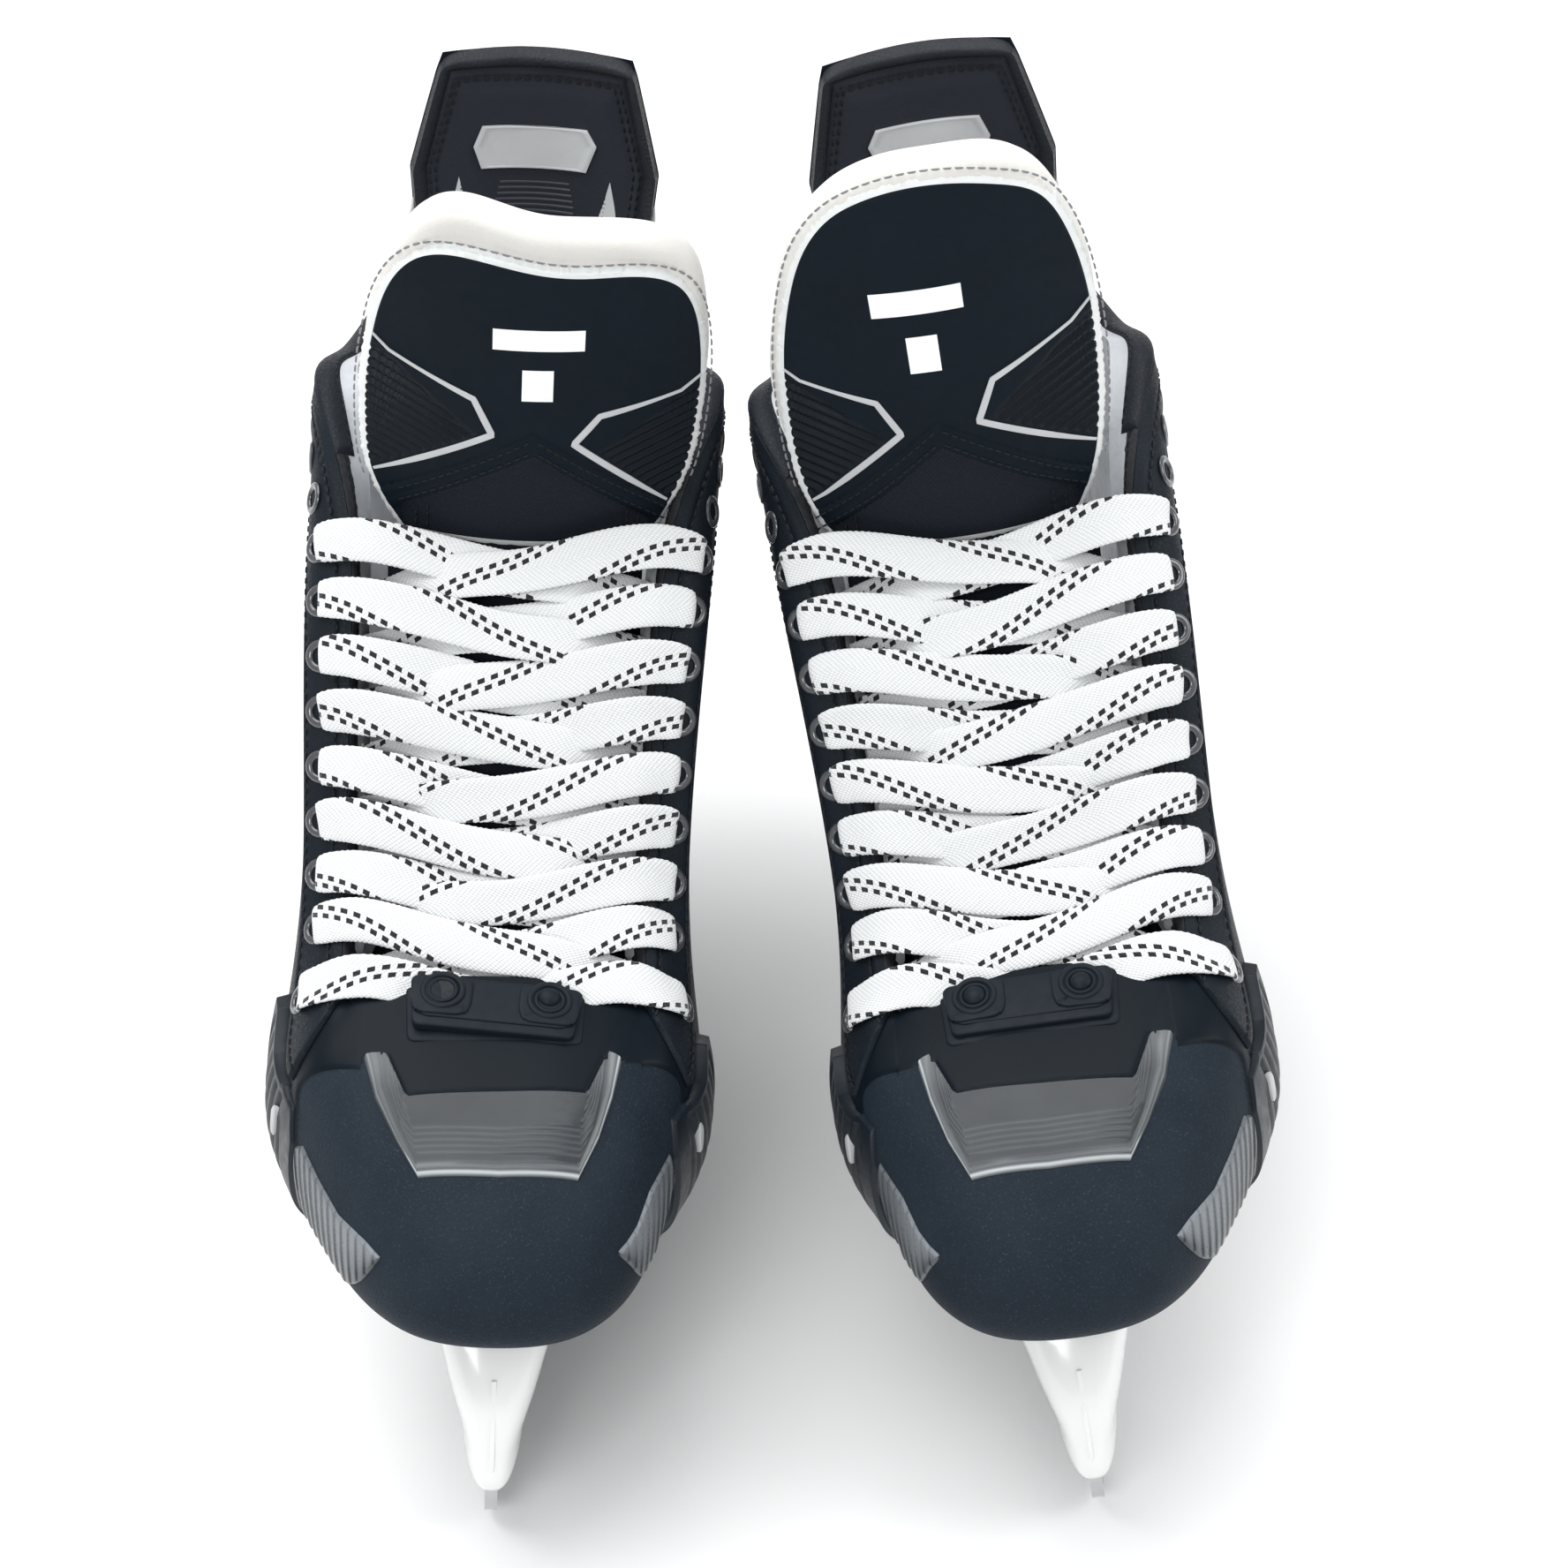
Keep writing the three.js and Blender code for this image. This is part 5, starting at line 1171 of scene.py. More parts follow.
def lace(k):
    """The lace's whole run: a bar across the lowest pair, then crossing passes up to the ninth row."""
    pc = Piece()
    Mr, Nr = ROWS["medial"], ROWS["lateral"]
    rnd = np.random.default_rng(11 if k == "right" else 23)

    def centre(i, d):
        a, b = Mr[i], Nr[i]
        mid = (a["edge"] + b["edge"]) / 2
        j, h = min(i + 1, 11), max(i - 1, 0)
        u = (Mr[j]["eye"] + Nr[j]["eye"]) / 2 - (Mr[h]["eye"] + Nr[h]["eye"]) / 2
        u /= np.linalg.norm(u)
        f = np.cross([1, 0, 0], u)
        f /= np.linalg.norm(f)
        if f[2] < 0:
            f = -f
        return mid + f * d, f, u

    def along(r, rows):
        i = rows.index(r)
        v = rows[min(i + 1, 11)]["eye"] - rows[max(i - 1, 0)]["eye"]
        return v / np.linalg.norm(v)

    u0 = 0.0

    def run(points, across, nrm, widths, n=90):
        nonlocal u0
        points, across, nrm = np.array(points), np.array(across), np.array(nrm)
        c = np.concatenate([[0], np.cumsum(np.linalg.norm(np.diff(points, axis=0), axis=1))])
        x = np.linspace(0, c[-1], n)
        C = spline(c, points)(x)
        lin = lambda a: np.stack([np.interp(x, c, a[:, i]) for i in range(3)], 1)
        W, N = lin(across), lin(nrm)
        Tn = np.gradient(C, axis=0)
        Tn /= np.linalg.norm(Tn, axis=1, keepdims=True)
        # a slight roll and wave along the way, as a woven band has
        N = N - Tn * (N * Tn).sum(1, keepdims=True)
        N /= np.linalg.norm(N, axis=1, keepdims=True)
        ph = rnd.uniform(0, 6.28)
        roll = np.radians(4.5) * np.sin(x / c[-1] * 5.0 + ph) + np.radians(rnd.uniform(-2.5, 2.5))
        B = np.cross(N, Tn)
        B = np.sign((B * W).sum(1, keepdims=True)) * B
        B2 = B * np.cos(roll)[:, None] + N * np.sin(roll)[:, None]
        N2 = N * np.cos(roll)[:, None] - B * np.sin(roll)[:, None]
        w = np.interp(x, c, widths)
        w = w * (1 + 0.025 * np.sin(x / 7.0 + ph))
        base = rounded(1.0, 0.62, 0.42, 4)
        sec = np.repeat(base[None], n, 0)
        sec[..., 0] = base[None, :, 0] * w[:, None] / 2
        cup = 0.35 * np.sin(x / 23 + ph)
        sec[..., 1] = base[None, :, 1] + (cup[:, None] * (base[None, :, 0] ** 2 - 0.4))
        # woven edge: tiny scallops
        sec[..., 0] += np.sign(base[None, :, 0]) * (np.abs(base[None, :, 0]) > 0.8) * 0.10 * np.sin(x * 2 * math.pi / 1.5)[:, None]
        pc.sweep(C, B2, N2, sec, 0, u0=u0)
        u0 += c[-1] + rnd.uniform(8, 30)

    OVER = 2.95
    for i in range(9):
        if i == 0:
            c, f, u = centre(0, 3.4)
            pts, ac, nr, wd = [], [], [], []
            for r, rows, first in ((Nr[0], Nr, True), (Mr[0], Mr, False)):
                sx = np.sign(r["edge"][0])
                q = [
                    (r["eye"] + r["n"] * 0.2, along(r, rows), r["n"], 6.8),
                    (r["eye"] + r["n"] * OVER + (r["mid"] - r["eye"]) * 0.3, along(r, rows), r["n"], 8.8),
                    (r["mid"] + r["mn"] * (OVER + 0.4), along(r, rows) * 0.7 + u * 0.3, r["mn"], 10.0),
                    (r["edge"] + r["en"] * 2.0 + f * 2.4 - np.array([sx * 3.0, 0, 0]), u, f * 0.7 + r["en"] * 0.3, 10.8),
                ]
                q = q + [(c - u * 4.5 - f * 0.8, u, f, 11.0)] if first else q[::-1]
                for e in q:
                    pts.append(e[0]), ac.append(e[1]), nr.append(e[2]), wd.append(e[3])
            run(pts, ac, nr, wd, 130)
            continue
        for which, (Pr, Qr) in enumerate(((Nr, Mr), (Mr, Nr))):
            high = (i % 2) == which
            fr, to = Pr[i - 1], Qr[i]
            d = 4.6 if high else 2.9
            d += rnd.uniform(-0.2, 0.3)
            c0, f0, uu0 = centre(i - 1, d)
            c1, f1, uu1 = centre(i, d)
            f, u = (f0 + f1) / 2, (uu0 + uu1) / 2
            sx, tx = np.sign(fr["edge"][0]), np.sign(to["edge"][0])
            up_ = 2.2 if which else 0.8
            a0 = fr["edge"] + u * up_
            start = a0 - np.array([sx * 1.0, 0, 0]) - f * 5.0
            out_ = a0 - np.array([sx * 8.5, 0, 0]) - f * 1.2 + u * 0.8
            mid = c0 * 0.5 + c1 * 0.5
            mid1 = c0 * 0.62 + c1 * 0.38 + np.array([sx * 15, 0, 0]) - f * 0.6
            mid2 = c0 * 0.28 + c1 * 0.72 + np.array([tx * 16, 0, 0]) + f * 0.3
            jig = u * rnd.uniform(-1.1, 1.1)
            q = [
                (start, u, f, 9.4),
                (out_ + jig * 0.4, u, f, 10.4),
                (mid1 + jig * 0.7, u, f, 11.0),
                (mid + jig, u, f, 11.2),
                (mid2 + jig * 0.6, u, f, 11.2),
                (to["edge"] + to["en"] * 2.0 + f * 2.3 - np.array([tx * 3.0, 0, 0]) + jig * 0.2, u * 0.85 + along(to, Qr) * 0.15, f * 0.7 + to["en"] * 0.3, 10.9),
                (to["mid"] + to["mn"] * (OVER + 0.4), along(to, Qr) * 0.7 + u * 0.3, to["mn"], 10.2),
                (to["eye"] + to["n"] * OVER + (to["mid"] - to["eye"]) * 0.3, along(to, Qr), to["n"], 8.8),
                (to["eye"] + to["n"] * 0.2, along(to, Qr), to["n"], 6.6),
            ]
            run([e[0] for e in q], [e[1] for e in q], [e[2] for e in q], [e[3] for e in q], 130)
    o = pc.build(k + "_lace_band", k, [M["lace"]], 70)
    done(o, k + "_skate", k + "_lace", k + "_lace")


# tongue ---------------------------------------------------------
_half = spline([204, 214, 232, 250, 264, 276, 284, 290], [30, 33.5, 37.5, 40.5, 41.5, 39.6, 35.5, 29.5])


def tongue(k):
    lift = STANCE[k]["lift"]
    stretch = lambda z: np.where(z < 214, z, 214 + (z - 214) * ((77 + lift) / 77))
    front = lambda z: 12 - 3 * sm((z - 204) / 40)
    CX = 2.0

    def at(x, z, d=0.0):
        """A point of the tongue's front at x across and height z, d mm forward of it."""
        x, z, d = np.broadcast_arrays(np.asarray(x, float), np.asarray(z, float), np.asarray(d, float))
        ny = -1 / np.sqrt(1 + (x / 74) ** 2)
        nx = (x / 74) / np.sqrt(1 + (x / 74) ** 2)
        return np.stack([x + CX + nx * d, front(z) + x * x / 148 + ny * d, stretch(z)], -1)

    # lower tongue, under the laces
    line = spline([0, 1, 2, 3, 4], [[0, -62, 121.5], [0, -46, 131], [0, -13, 171], [0, 6, 193], [0, 11, 200]])
    V = np.linspace(0.0, 3.98, 120)
    X = np.linspace(-1, 1, 60)
    c = line(V)
    dd = line(np.minimum(V + 0.02, 4)) - line(np.maximum(V - 0.02, 0))
    dd /= np.linalg.norm(dd, axis=1, keepdims=True)
    out = np.stack([0 * dd[:, 0], -dd[:, 2], dd[:, 1]], 1)
    hw = np.where(V < 0.5, 22 + 10 * V, 31.5)[:, None]
    x = X[None, :] * hw
    sag = -1.9 - 12 * np.abs(x / 36) ** 2.5 + 0.5 * np.sin(V[:, None] * 9) * np.cos(x / 14)
    pts = c[:, None] + np.stack([x, 0 * x, 0 * x], -1) + out[:, None] * sag[..., None]
    pts2 = c[:, None] + np.stack([x, 0 * x, 0 * x], -1) + out[:, None] * (sag - 6)[..., None]
    pc = Piece()
    pc.slab(pts, pts2, None, 0)
    for xo in (-22, 22):
        j = int((xo / 31.5 + 1) / 2 * 59)
        pc.stitches(pts[8:, j], np.repeat(out[8:, None], 1, 1)[:, 0], mat=1)
    done(pc.build(k + "_tongue_lower", k, [M["knit"], M["thread"]], 50), k + "_skate", k + "_tongue_base", k + "_tongue_base")

    # felt: a thick soft pad, with a moulded facing sewn on it inside a fuzzy cut edge
    if lift < 1:
        felt_key = [(-30, 199.5), (-35.5, 206), (-40.0, 222), (-40.9, 238), (-40.8, 249), (-38.8, 259.5), (-36.3, 269.5), (-32.2, 279.8), (-26.9, 286.6), (-20.5, 289.9), (-9.5, 289.6), (3, 286.8), (12.2, 285.9), (19, 285.5), (29.5, 283.4), (37, 278), (41.2, 270.2), (43.5, 260.2), (44.2, 251.0), (43.5, 238), (41.5, 222), (37, 206.5), (31, 199.5)]
        face_key = [(-29, 198.5), (-33.5, 205), (-37.4, 214), (-38.6, 226), (-38.4, 239), (-36.6, 253.2), (-33.5, 265), (-30.0, 271.8), (-25.8, 276.0), (-20.6, 278.0), (-15, 278.1), (-9, 277.2), (3.2, 274.9), (12.5, 274.2), (19.5, 274.1), (28.8, 272.4), (33.8, 269.2), (37.2, 263.8), (39.9, 253), (40.6, 241.8), (39.9, 227), (37.6, 214), (34, 205.5), (30, 198.5)]
    else:
        felt_key = [(-30, 199.5), (-34.5, 206), (-38.2, 223), (-41, 242), (-40.4, 259.2), (-36.8, 273.0), (-30.6, 283.4), (-20.5, 289.2), (-9, 291.3), (1.5, 291.2), (10, 289.8), (18.6, 286.8), (28.6, 277.4), (35.2, 264.5), (39.5, 250), (41, 238), (40, 222), (35.5, 206.5), (30.5, 199.5)]
        face_key = [(-28.5, 198.5), (-32.5, 206), (-36.4, 220), (-38.0, 237.5), (-37.5, 253), (-34.0, 268.5), (-28.2, 278.6), (-19.5, 283.0), (-9, 285.6), (2.2, 286.0), (10, 284.6), (17.8, 281.3), (25.6, 273.4), (30.4, 263.5), (34.8, 248), (36.2, 235), (36, 218), (33, 206), (29, 198.5)]

    def outline(key, n_side=330, n_low=50):
        key = np.array(key, float)
        c_ = np.concatenate([[0], np.cumsum(np.linalg.norm(np.diff(key, axis=0), axis=1))])
        f_ = spline(c_, key)
        top_ = f_(np.linspace(0, c_[-1], n_side))
        low_ = np.linspace(key[-1], key[0], n_low + 2)[1:-1]
        return np.concatenate([top_, low_]), top_

    def offset(line_, d):
        t_ = np.gradient(line_, axis=0)
        t_ /= np.linalg.norm(t_, axis=1, keepdims=True)
        return line_ + np.stack([-t_[:, 1], t_[:, 0]], 1) * d

    def flat(x, z, d=0.0):
        """at(), with x already measured from the part's middle."""
        return at(x, z, d)

    fel, fel_top = outline(felt_key)
    face_ring, face_top = outline(face_key)
    C0 = np.array([1.0, 244.0])
    roll = lambda e, r: np.sqrt(np.clip(1 - (1 - np.clip(e / r, 0, 1)) ** 2, 0, 1))
    topness = lambda z: sm((z - 252) / 22)

    def felt_front(x, z, e):
        puff = (1.1 * topness(z) + 0.35) * np.exp(-(((e - 4.6) / 3.2) ** 2))
        return -4.0 + 4.3 * roll(e, 4.6) + puff + 0.14 * np.sin(x / 3.9 + z / 6.1) * sm(e / 3)

    def felt_back(x, z, e):
        return -4.0 - (4.3 + 0.5 * np.sin(x / 9.0 + 1) * np.cos(z / 13)) * roll(e, 4.6)

    wob_ = np.stack([0.25 * np.sin(np.linspace(0, 47, len(fel))), 0.25 * np.cos(np.linspace(0, 53, len(fel)))], 1)
    pc = Piece()
    pc.patch(fel + wob_, flat, felt_front, felt_back, 0, 46, None, C0)
    st_line = offset(face_top, 2.7)[22:-22]
    nrm = at(st_line[:, 0], st_line[:, 1], 1.0) - at(st_line[:, 0], st_line[:, 1], 0.0)
    hs = 0.55 + 1.05 * topness(st_line[:, 1])
    pc.stitches(at(st_line[:, 0], st_line[:, 1], hs), nrm, mat=1, pitch=2.7, length=2.0, r=0.28)
    o_felt = pc.build(k + "_tongue_felt_pad", k, [M["felt"], M["thread_grey"]], 60)

    edge_ring = offset(face_ring, 1.9)
    edge_ring = edge_ring + RNG.normal(0, 0.16, edge_ring.shape)
    pc = Piece()
    pc.patch(edge_ring, flat, lambda x, z, e: 0.2 + (1.1 + 0.9 * topness(z)) * roll(e, 0.9), lambda x, z, e: -0.4 + 0 * e, 0, 14, None, C0)
    o_edge = pc.build(k + "_tongue_felt_edge", k, [M["felt_edge"]], 60)

    # moulded facing
    def side_of(x, z, a, b):
        """Signed distance from the line a to b, positive on its left."""
        dx, dz = b[0] - a[0], b[1] - a[1]
        return (-(x - a[0]) * dz + (z - a[1]) * dx) / math.hypot(dx, dz)

    WL = [(-39.5, 256.0), (-32.2, 249.6), (-12.6, 240.6), (-8.2, 230.8), (-38.5, 212.6)]
    WR = [(41.5, 245.0), (35.5, 240.6), (16.6, 236.4), (10.8, 228.6), (36.8, 205.6)]
    if lift > 1:
        WL = [(-39.5, 253.0), (-32.2, 247.6), (-12.6, 239.6), (-8.2, 230.2), (-38.5, 215.0)]
        WR = [(37.5, 247.5), (31.5, 243.0), (14.6, 237.6), (10.0, 229.4), (36.8, 209.0)]

    def wings(x, z):
        l = np.minimum(np.minimum(-side_of(x, z, WL[1], WL[2]), -side_of(x, z, WL[0], WL[1])), np.minimum(-side_of(x, z, WL[2], WL[3]), -side_of(x, z, WL[3], WL[4])))
        r = np.minimum(np.minimum(side_of(x, z, WR[1], WR[2]), side_of(x, z, WR[0], WR[1])), np.minimum(side_of(x, z, WR[2], WR[3]), side_of(x, z, WR[3], WR[4])))
        return np.where(x < 0, l, r)

    vee = lambda x: np.where(x < 1.5, 231.4 + (x - 1.5) * 0.626, 231.4 - (x - 1.5) * 0.74)

    def knit_in(x, z):
        return np.minimum(vee(x) - 6.6 - z, 29.5 - np.abs(x - 0.5))

    def face_front(x, z, e):
        w_ = wings(x, z)
        ph = z + 0.34 * (40 - np.abs(x)) + 0.004 * (40 - np.abs(x)) ** 2
        rid = 0.5 + 0.5 * np.sin(ph * 2 * math.pi / 2.55)
        h = 1.95 + 0.85 * sm((w_ - 1.3) / 0.6) * (rid - 0.75)
        ki = knit_in(x, z)
        vb = vee(x) - z
        h = h + 0.30 * sm(vb / 0.6) * (1 - sm((vb - 6.2) / 0.6)) - 0.55 * sm((ki + 0.2) / 0.5)
        h = h - 0.35 * np.exp(-(((vb - 0.2) / 0.45) ** 2)) - 0.25 * np.exp(-(((vb - 3.2) / 0.35) ** 2))
        return 0.3 + (h - 0.3) * roll(e, 1.0) + 0.6 * topness(z)

    def face_mat(x, z, e):
        return np.where(knit_in(x, z) > 0, 2, np.where(wings(x, z) > 1.0, 1, 0))

    pc = Piece()
    pc.patch(face_ring, flat, face_front, lambda x, z, e: 0.1 + 0 * e, 0, 96, face_mat, C0)
    for W in (WL, WR):
        key = np.array(W)
        sg = np.sign(key[0, 0])
        lines = []
        for i in range(4):
            a0, b0 = key[i], key[i + 1]
            for qq in np.linspace(0, 1, 26, endpoint=i == 3):
                lines.append(a0 * (1 - qq) + b0 * qq)
        lines = np.array(lines)
        xr = np.interp(lines[:, 1], np.sort(face_ring[:330][face_ring[:330, 0] * sg > 5][:, 1]), np.abs(face_ring[:330][face_ring[:330, 0] * sg > 5][np.argsort(face_ring[:330][face_ring[:330, 0] * sg > 5][:, 1])][:, 0]))
        keep = np.abs(lines[:, 0]) < xr - 0.4
        lines = lines[keep]
        xs, zs = lines[:, 0], lines[:, 1]
        up_ = 2.2 + 0.6 * topness(zs)
        C_ = at(xs, zs, up_)
        N_ = at(xs, zs, 3.0) - at(xs, zs, 2.0)
        T_ = np.gradient(C_, axis=0)
        fr_ = np.linspace(0, 1, len(xs))
        wd = np.interp(fr_, [0, 0.28, 0.45, 0.62, 0.9, 1.0], [0.28, 0.42, 0.75, 0.85, 0.80, 0.35])
        sec = np.repeat(rounded(1.0, 0.22, 0.15)[None], len(xs), 0)
        sec[..., 0] *= wd[:, None]
        pc.sweep(C_, np.cross(N_, T_), N_, sec, 3)
    # stitches on the band and down the panel's sides
    for sg in (-1, 1):
        for dz in (1.5, 4.9):
            xs = 1.5 + sg * np.linspace(0.8, 33.5, 60)
            zs = vee(xs) - dz
            ok = zs > 200.5
            xs, zs = xs[ok], zs[ok]
            pc.stitches(at(xs, zs, 2.25), at(xs, zs, 1) - at(xs, zs, 0), mat=4, pitch=2.4, length=1.7, r=0.24)
        for xo in (26.5, 23.8):
            zv = np.linspace(200, vee(np.array(sg * xo + 0.5)) - 7.0, 12)
            if zv[-1] > 203:
                xv = sg * xo + 0.5 + 0 * zv
                pc.stitches(at(xv, zv, 1.65), at(xv, zv, 1) - at(xv, zv, 0), mat=4, pitch=2.4, length=1.7, r=0.24)
    # plain printed bars
    dzb = 0.0 if lift < 1 else 3.0
    for x0, x1, z0_, z1_ in ((-8.5, 12.5, 254.6 + dzb, 260.2 + dzb), (-1.6, 5.6, 241.0 + dzb, 249.4 + dzb)):
        gx, gz = np.meshgrid(np.linspace(x0, x1, 16), np.linspace(z0_, z1_, 8), indexing="ij")
        hb = 2.02 + 0.6 * topness(gz)
        pc.slab(at(gx, gz, hb), at(gx, gz, hb - 0.5), None, 5)
    o_face = pc.build(k + "_tongue_face", k, [M["facing"], M["ridge"], M["knit"], M["silver"], M["thread"], M["white"]], 50)
    for o, slot, node in ((o_felt, "_tongue_felt", "_tongue_felt"), (o_edge, "_tongue_felt", "_tongue_felt"), (o_face, "_tongue_facing", "_tongue_facing")):
        done(o, k + "_tongue", k + slot, k + node)


def guard(k):
    half = lambda z: np.interp(z, [206, 222, 234.5, 260.5, 265.5], [30.0, 32.4, 33.6, 26.8, 25.0])
    gx_ = 2.4 if k == "right" else -1.8
    gy = lambda z: 146 + 3.4 * sm((z - 208) / 45)
    bend = lambda z: 30 + 30 * sm((z - 207) / 32)

    def at(x, z, d=0.0):
        """Inner, front face of the guard: d mm forward of the shell's centre."""
        x, z, d = np.broadcast_arrays(np.asarray(x, float), np.asarray(z, float), np.asarray(d, float))
        return np.stack([x + gx_ * sm((z - 206) / 20), gy(z) - x * x / (2 * bend(z)) - d, z], -1)

    q = np.linspace(0, 1, 90)[:, None]
    a = np.linspace(-1, 1, 80)[None, :]
    z = 206.8 + 58.0 * q
    hw = half(z)
    # sides are straight runs with a soft kink at the widest point; the top corners are cut
    x = a * (hw - 0.2)
    z = z - 1.5 * np.abs(a) ** 14 * sm((q - 0.94) / 0.06) + 0.4 * np.cos(a * 2.2) * sm((q - 0.9) / 0.1)
    e = np.minimum((1 - np.abs(a)) * 31, (1 - q) * 58)
    rim = sm((3.5 - e) / 0.7)
    d = 4.6 + 0.7 * rim - 1.0 * np.exp(-(((e - 4.0) / 0.6) ** 2)) - 0.5 * np.exp(-(((e - 6.6) / 0.5) ** 2)) + 0.7 * sm((e - 7) / 5.0)
    d = d * np.sqrt(np.clip(1 - (1 - np.clip(e / 1.1, 0, 1)) ** 2, 0.0, 1)) * 1.0
    wob = 0.25 * np.sin(x / 3.1) * rim
    outer, inner = at(x, z, d + wob), at(x, z, -0.2 * np.ones_like(d))
    pc = Piece()
    pc.slab(outer, inner, np.stack([x, z], -1), 0)
    mats = []
    R, C = outer.shape[:2]
    rf = (e + 0 * x) < 4.0
    for i in range(R - 1):
        for j in range(C - 1):
            mats += [1 if rf[i, j] and rf[i + 1, j + 1] else 0, 1]
    pc.m[: len(mats)] = mats
    # two rows of stitches round the panel, the inner one in its channel
    def track(inset, n=200):
        zz = np.linspace(209, 264.6 - inset, 90)
        hx = half(zz) - inset * 1.05
        tx = np.linspace(-1, 1, 50)[1:-1] * (half(264.6 - inset) - inset * 1.05)
        xs = np.concatenate([-hx, tx, hx[::-1]])
        zs = np.concatenate([zz, np.full(48, 264.6 - inset), zz[::-1]])
        return xs, zs

    for ins, dd, m_ in ((5.2, 4.75, 2), (6.7, 4.55, 2)):
        xs, zs = track(ins)
        nrm = at(xs, zs, 1.0) - at(xs, zs, 0.0)
        nrm[:, 0] += xs / 60
        pc.stitches(at(xs, zs, dd - 0.15), nrm, mat=m_, pitch=2.7, length=1.9, r=0.3)
    o = pc.build(k + "_guard_pad", k, [M["guard"], M["guard_bind"], M["thread"]], 60)
    done(o, k + "_guard", k + "_tendon_pad", k + "_tendon_pad")

    # badge, ribs and shards
    pc = Piece()
    hexa = np.array([(-14.4, 245.0), (13.8, 245.0), (16.4, 240.8), (13.8, 233.2), (-14.4, 233.2), (-16.6, 239.4)])
    n = len(hexa)
    cen = hexa.mean(0)
    rows = [(1.0, 5.0), (1.0, 6.0), (0.965, 6.25), (0.90, 6.25), (0.885, 6.08)] + [(0.885 - 0.0865 * i, 6.08) for i in range(1, 11)]
    v, f, uv = [], [], []
    ring = []
    for i in range(n):
        for qq in np.linspace(0, 1, 10, endpoint=False):
            ring.append(hexa[i] * (1 - qq) + hexa[(i + 1) % n] * qq)
    ring = np.array(ring)
    for sc, h in rows:
        p = cen + (ring - cen) * sc
        v.append(at(p[:, 0], p[:, 1], h + 0 * p[:, 0]))
        uv.append(p)
    N = len(ring)
    for i in range(len(rows) - 1):
        for j in range(N):
            f.append([i * N + j, i * N + (j + 1) % N, (i + 1) * N + (j + 1) % N, (i + 1) * N + j])
    f.append(list(range(N))[::-1])
    f.append([(len(rows) - 1) * N + j for j in range(N)])
    pc.add(np.concatenate(v), f, np.concatenate(uv), 0)
    for i in range(10):
        z0 = 229.0 - 1.62 * i
        wx = 9.4 + 0.36 * i
        gx = np.linspace(-wx, wx, 26)
        C_ = at(gx, z0 + 0 * gx, 5.2)
        N_ = at(gx, z0 + 0 * gx, 6) - at(gx, z0 + 0 * gx, 5)
        T_ = np.gradient(C_, axis=0)
        pc.sweep(C_, np.cross(N_, T_), N_, rounded(0.42, 0.35, 0.3), 1)
    for sg in (-1, 1):
        tri = np.array([(sg * 20.4, 231.5), (sg * 16.4, 215.5), (sg * 23.8, 216.5)])
        rr = np.linspace(0, 1, 14)[:, None]
        cc = np.linspace(0, 1, 6)[None, :]
        px = tri[0, 0] * (1 - rr) + (tri[1, 0] * (1 - cc) + tri[2, 0] * cc) * rr
        pz = tri[0, 1] * (1 - rr) + (tri[1, 1] * (1 - cc) + tri[2, 1] * cc) * rr
        px = px + (cc - 0.5) * 0.05
        pc.slab(at(px, pz, 5.3 + 0 * px), at(px, pz, 4.6 + 0 * px), None, 0)
    o2 = pc.build(k + "_guard_badge", k, [M["silver"], M["guard_rib"], M["guard"]], 40)
    done(o2, k + "_guard", k + "_tendon_pad", k + "_tendon_pad")

    # outer shell of the guard, seen from behind
    pc = Piece()
    q = np.linspace(0, 1, 60)[:, None]
    a = np.linspace(-1, 1, 60)[None, :]
    z = 206.6 + 58.2 * q
    x = a * half(z)
    e = np.minimum((1 - np.abs(a)) * 31, np.minimum(1 - q, q) * 58)
    back = 2.0 + 0.8 * sm((e - 4) / 1.2) * (np.mod(z / 7.5, 1) > 0.12)
    back = back * np.sqrt(np.clip(1 - (1 - np.clip(e / 1.8, 0, 1)) ** 2, 0.02, 1))
    pc.slab(at(x, z, -back), at(x, z, -0.0 * back + 0.0), np.stack([x, z + 0 * x], -1), 0)
    o3 = pc.build(k + "_guard_shell", k, [M["satin2"]], 45)
    done(o3, k + "_guard", k + "_tendon_guard", k + "_tendon_guard")
    # pale wing tips that show at its foot
    pc = Piece()
    for sg in (-1, 1):
        zz = np.linspace(209, 226, 20)
        hx = half(zz) - 0.5
        C_ = at(sg * hx, zz, 0.6)
        W_ = np.repeat(np.array([[sg * 0.9, -0.45, 0]]), 20, 0)
        N_ = np.repeat(np.array([[sg * 0.45, 0.9, 0]]), 20, 0)
        wd = np.interp(np.arange(20), [0, 4, 10, 19], [1.5, 2.3, 2.6, 0.6])
        sec = np.repeat(rounded(1.0, 0.5, 0.3)[None], 20, 0)
        sec[..., 0] = sec[..., 0] * wd[:, None]
        pc.sweep(C_, W_, N_, sec, 0)
    done(pc.build(k + "_guard_wings", k, [M["pale"]], 50), k + "_guard", k + "_tendon_guard")


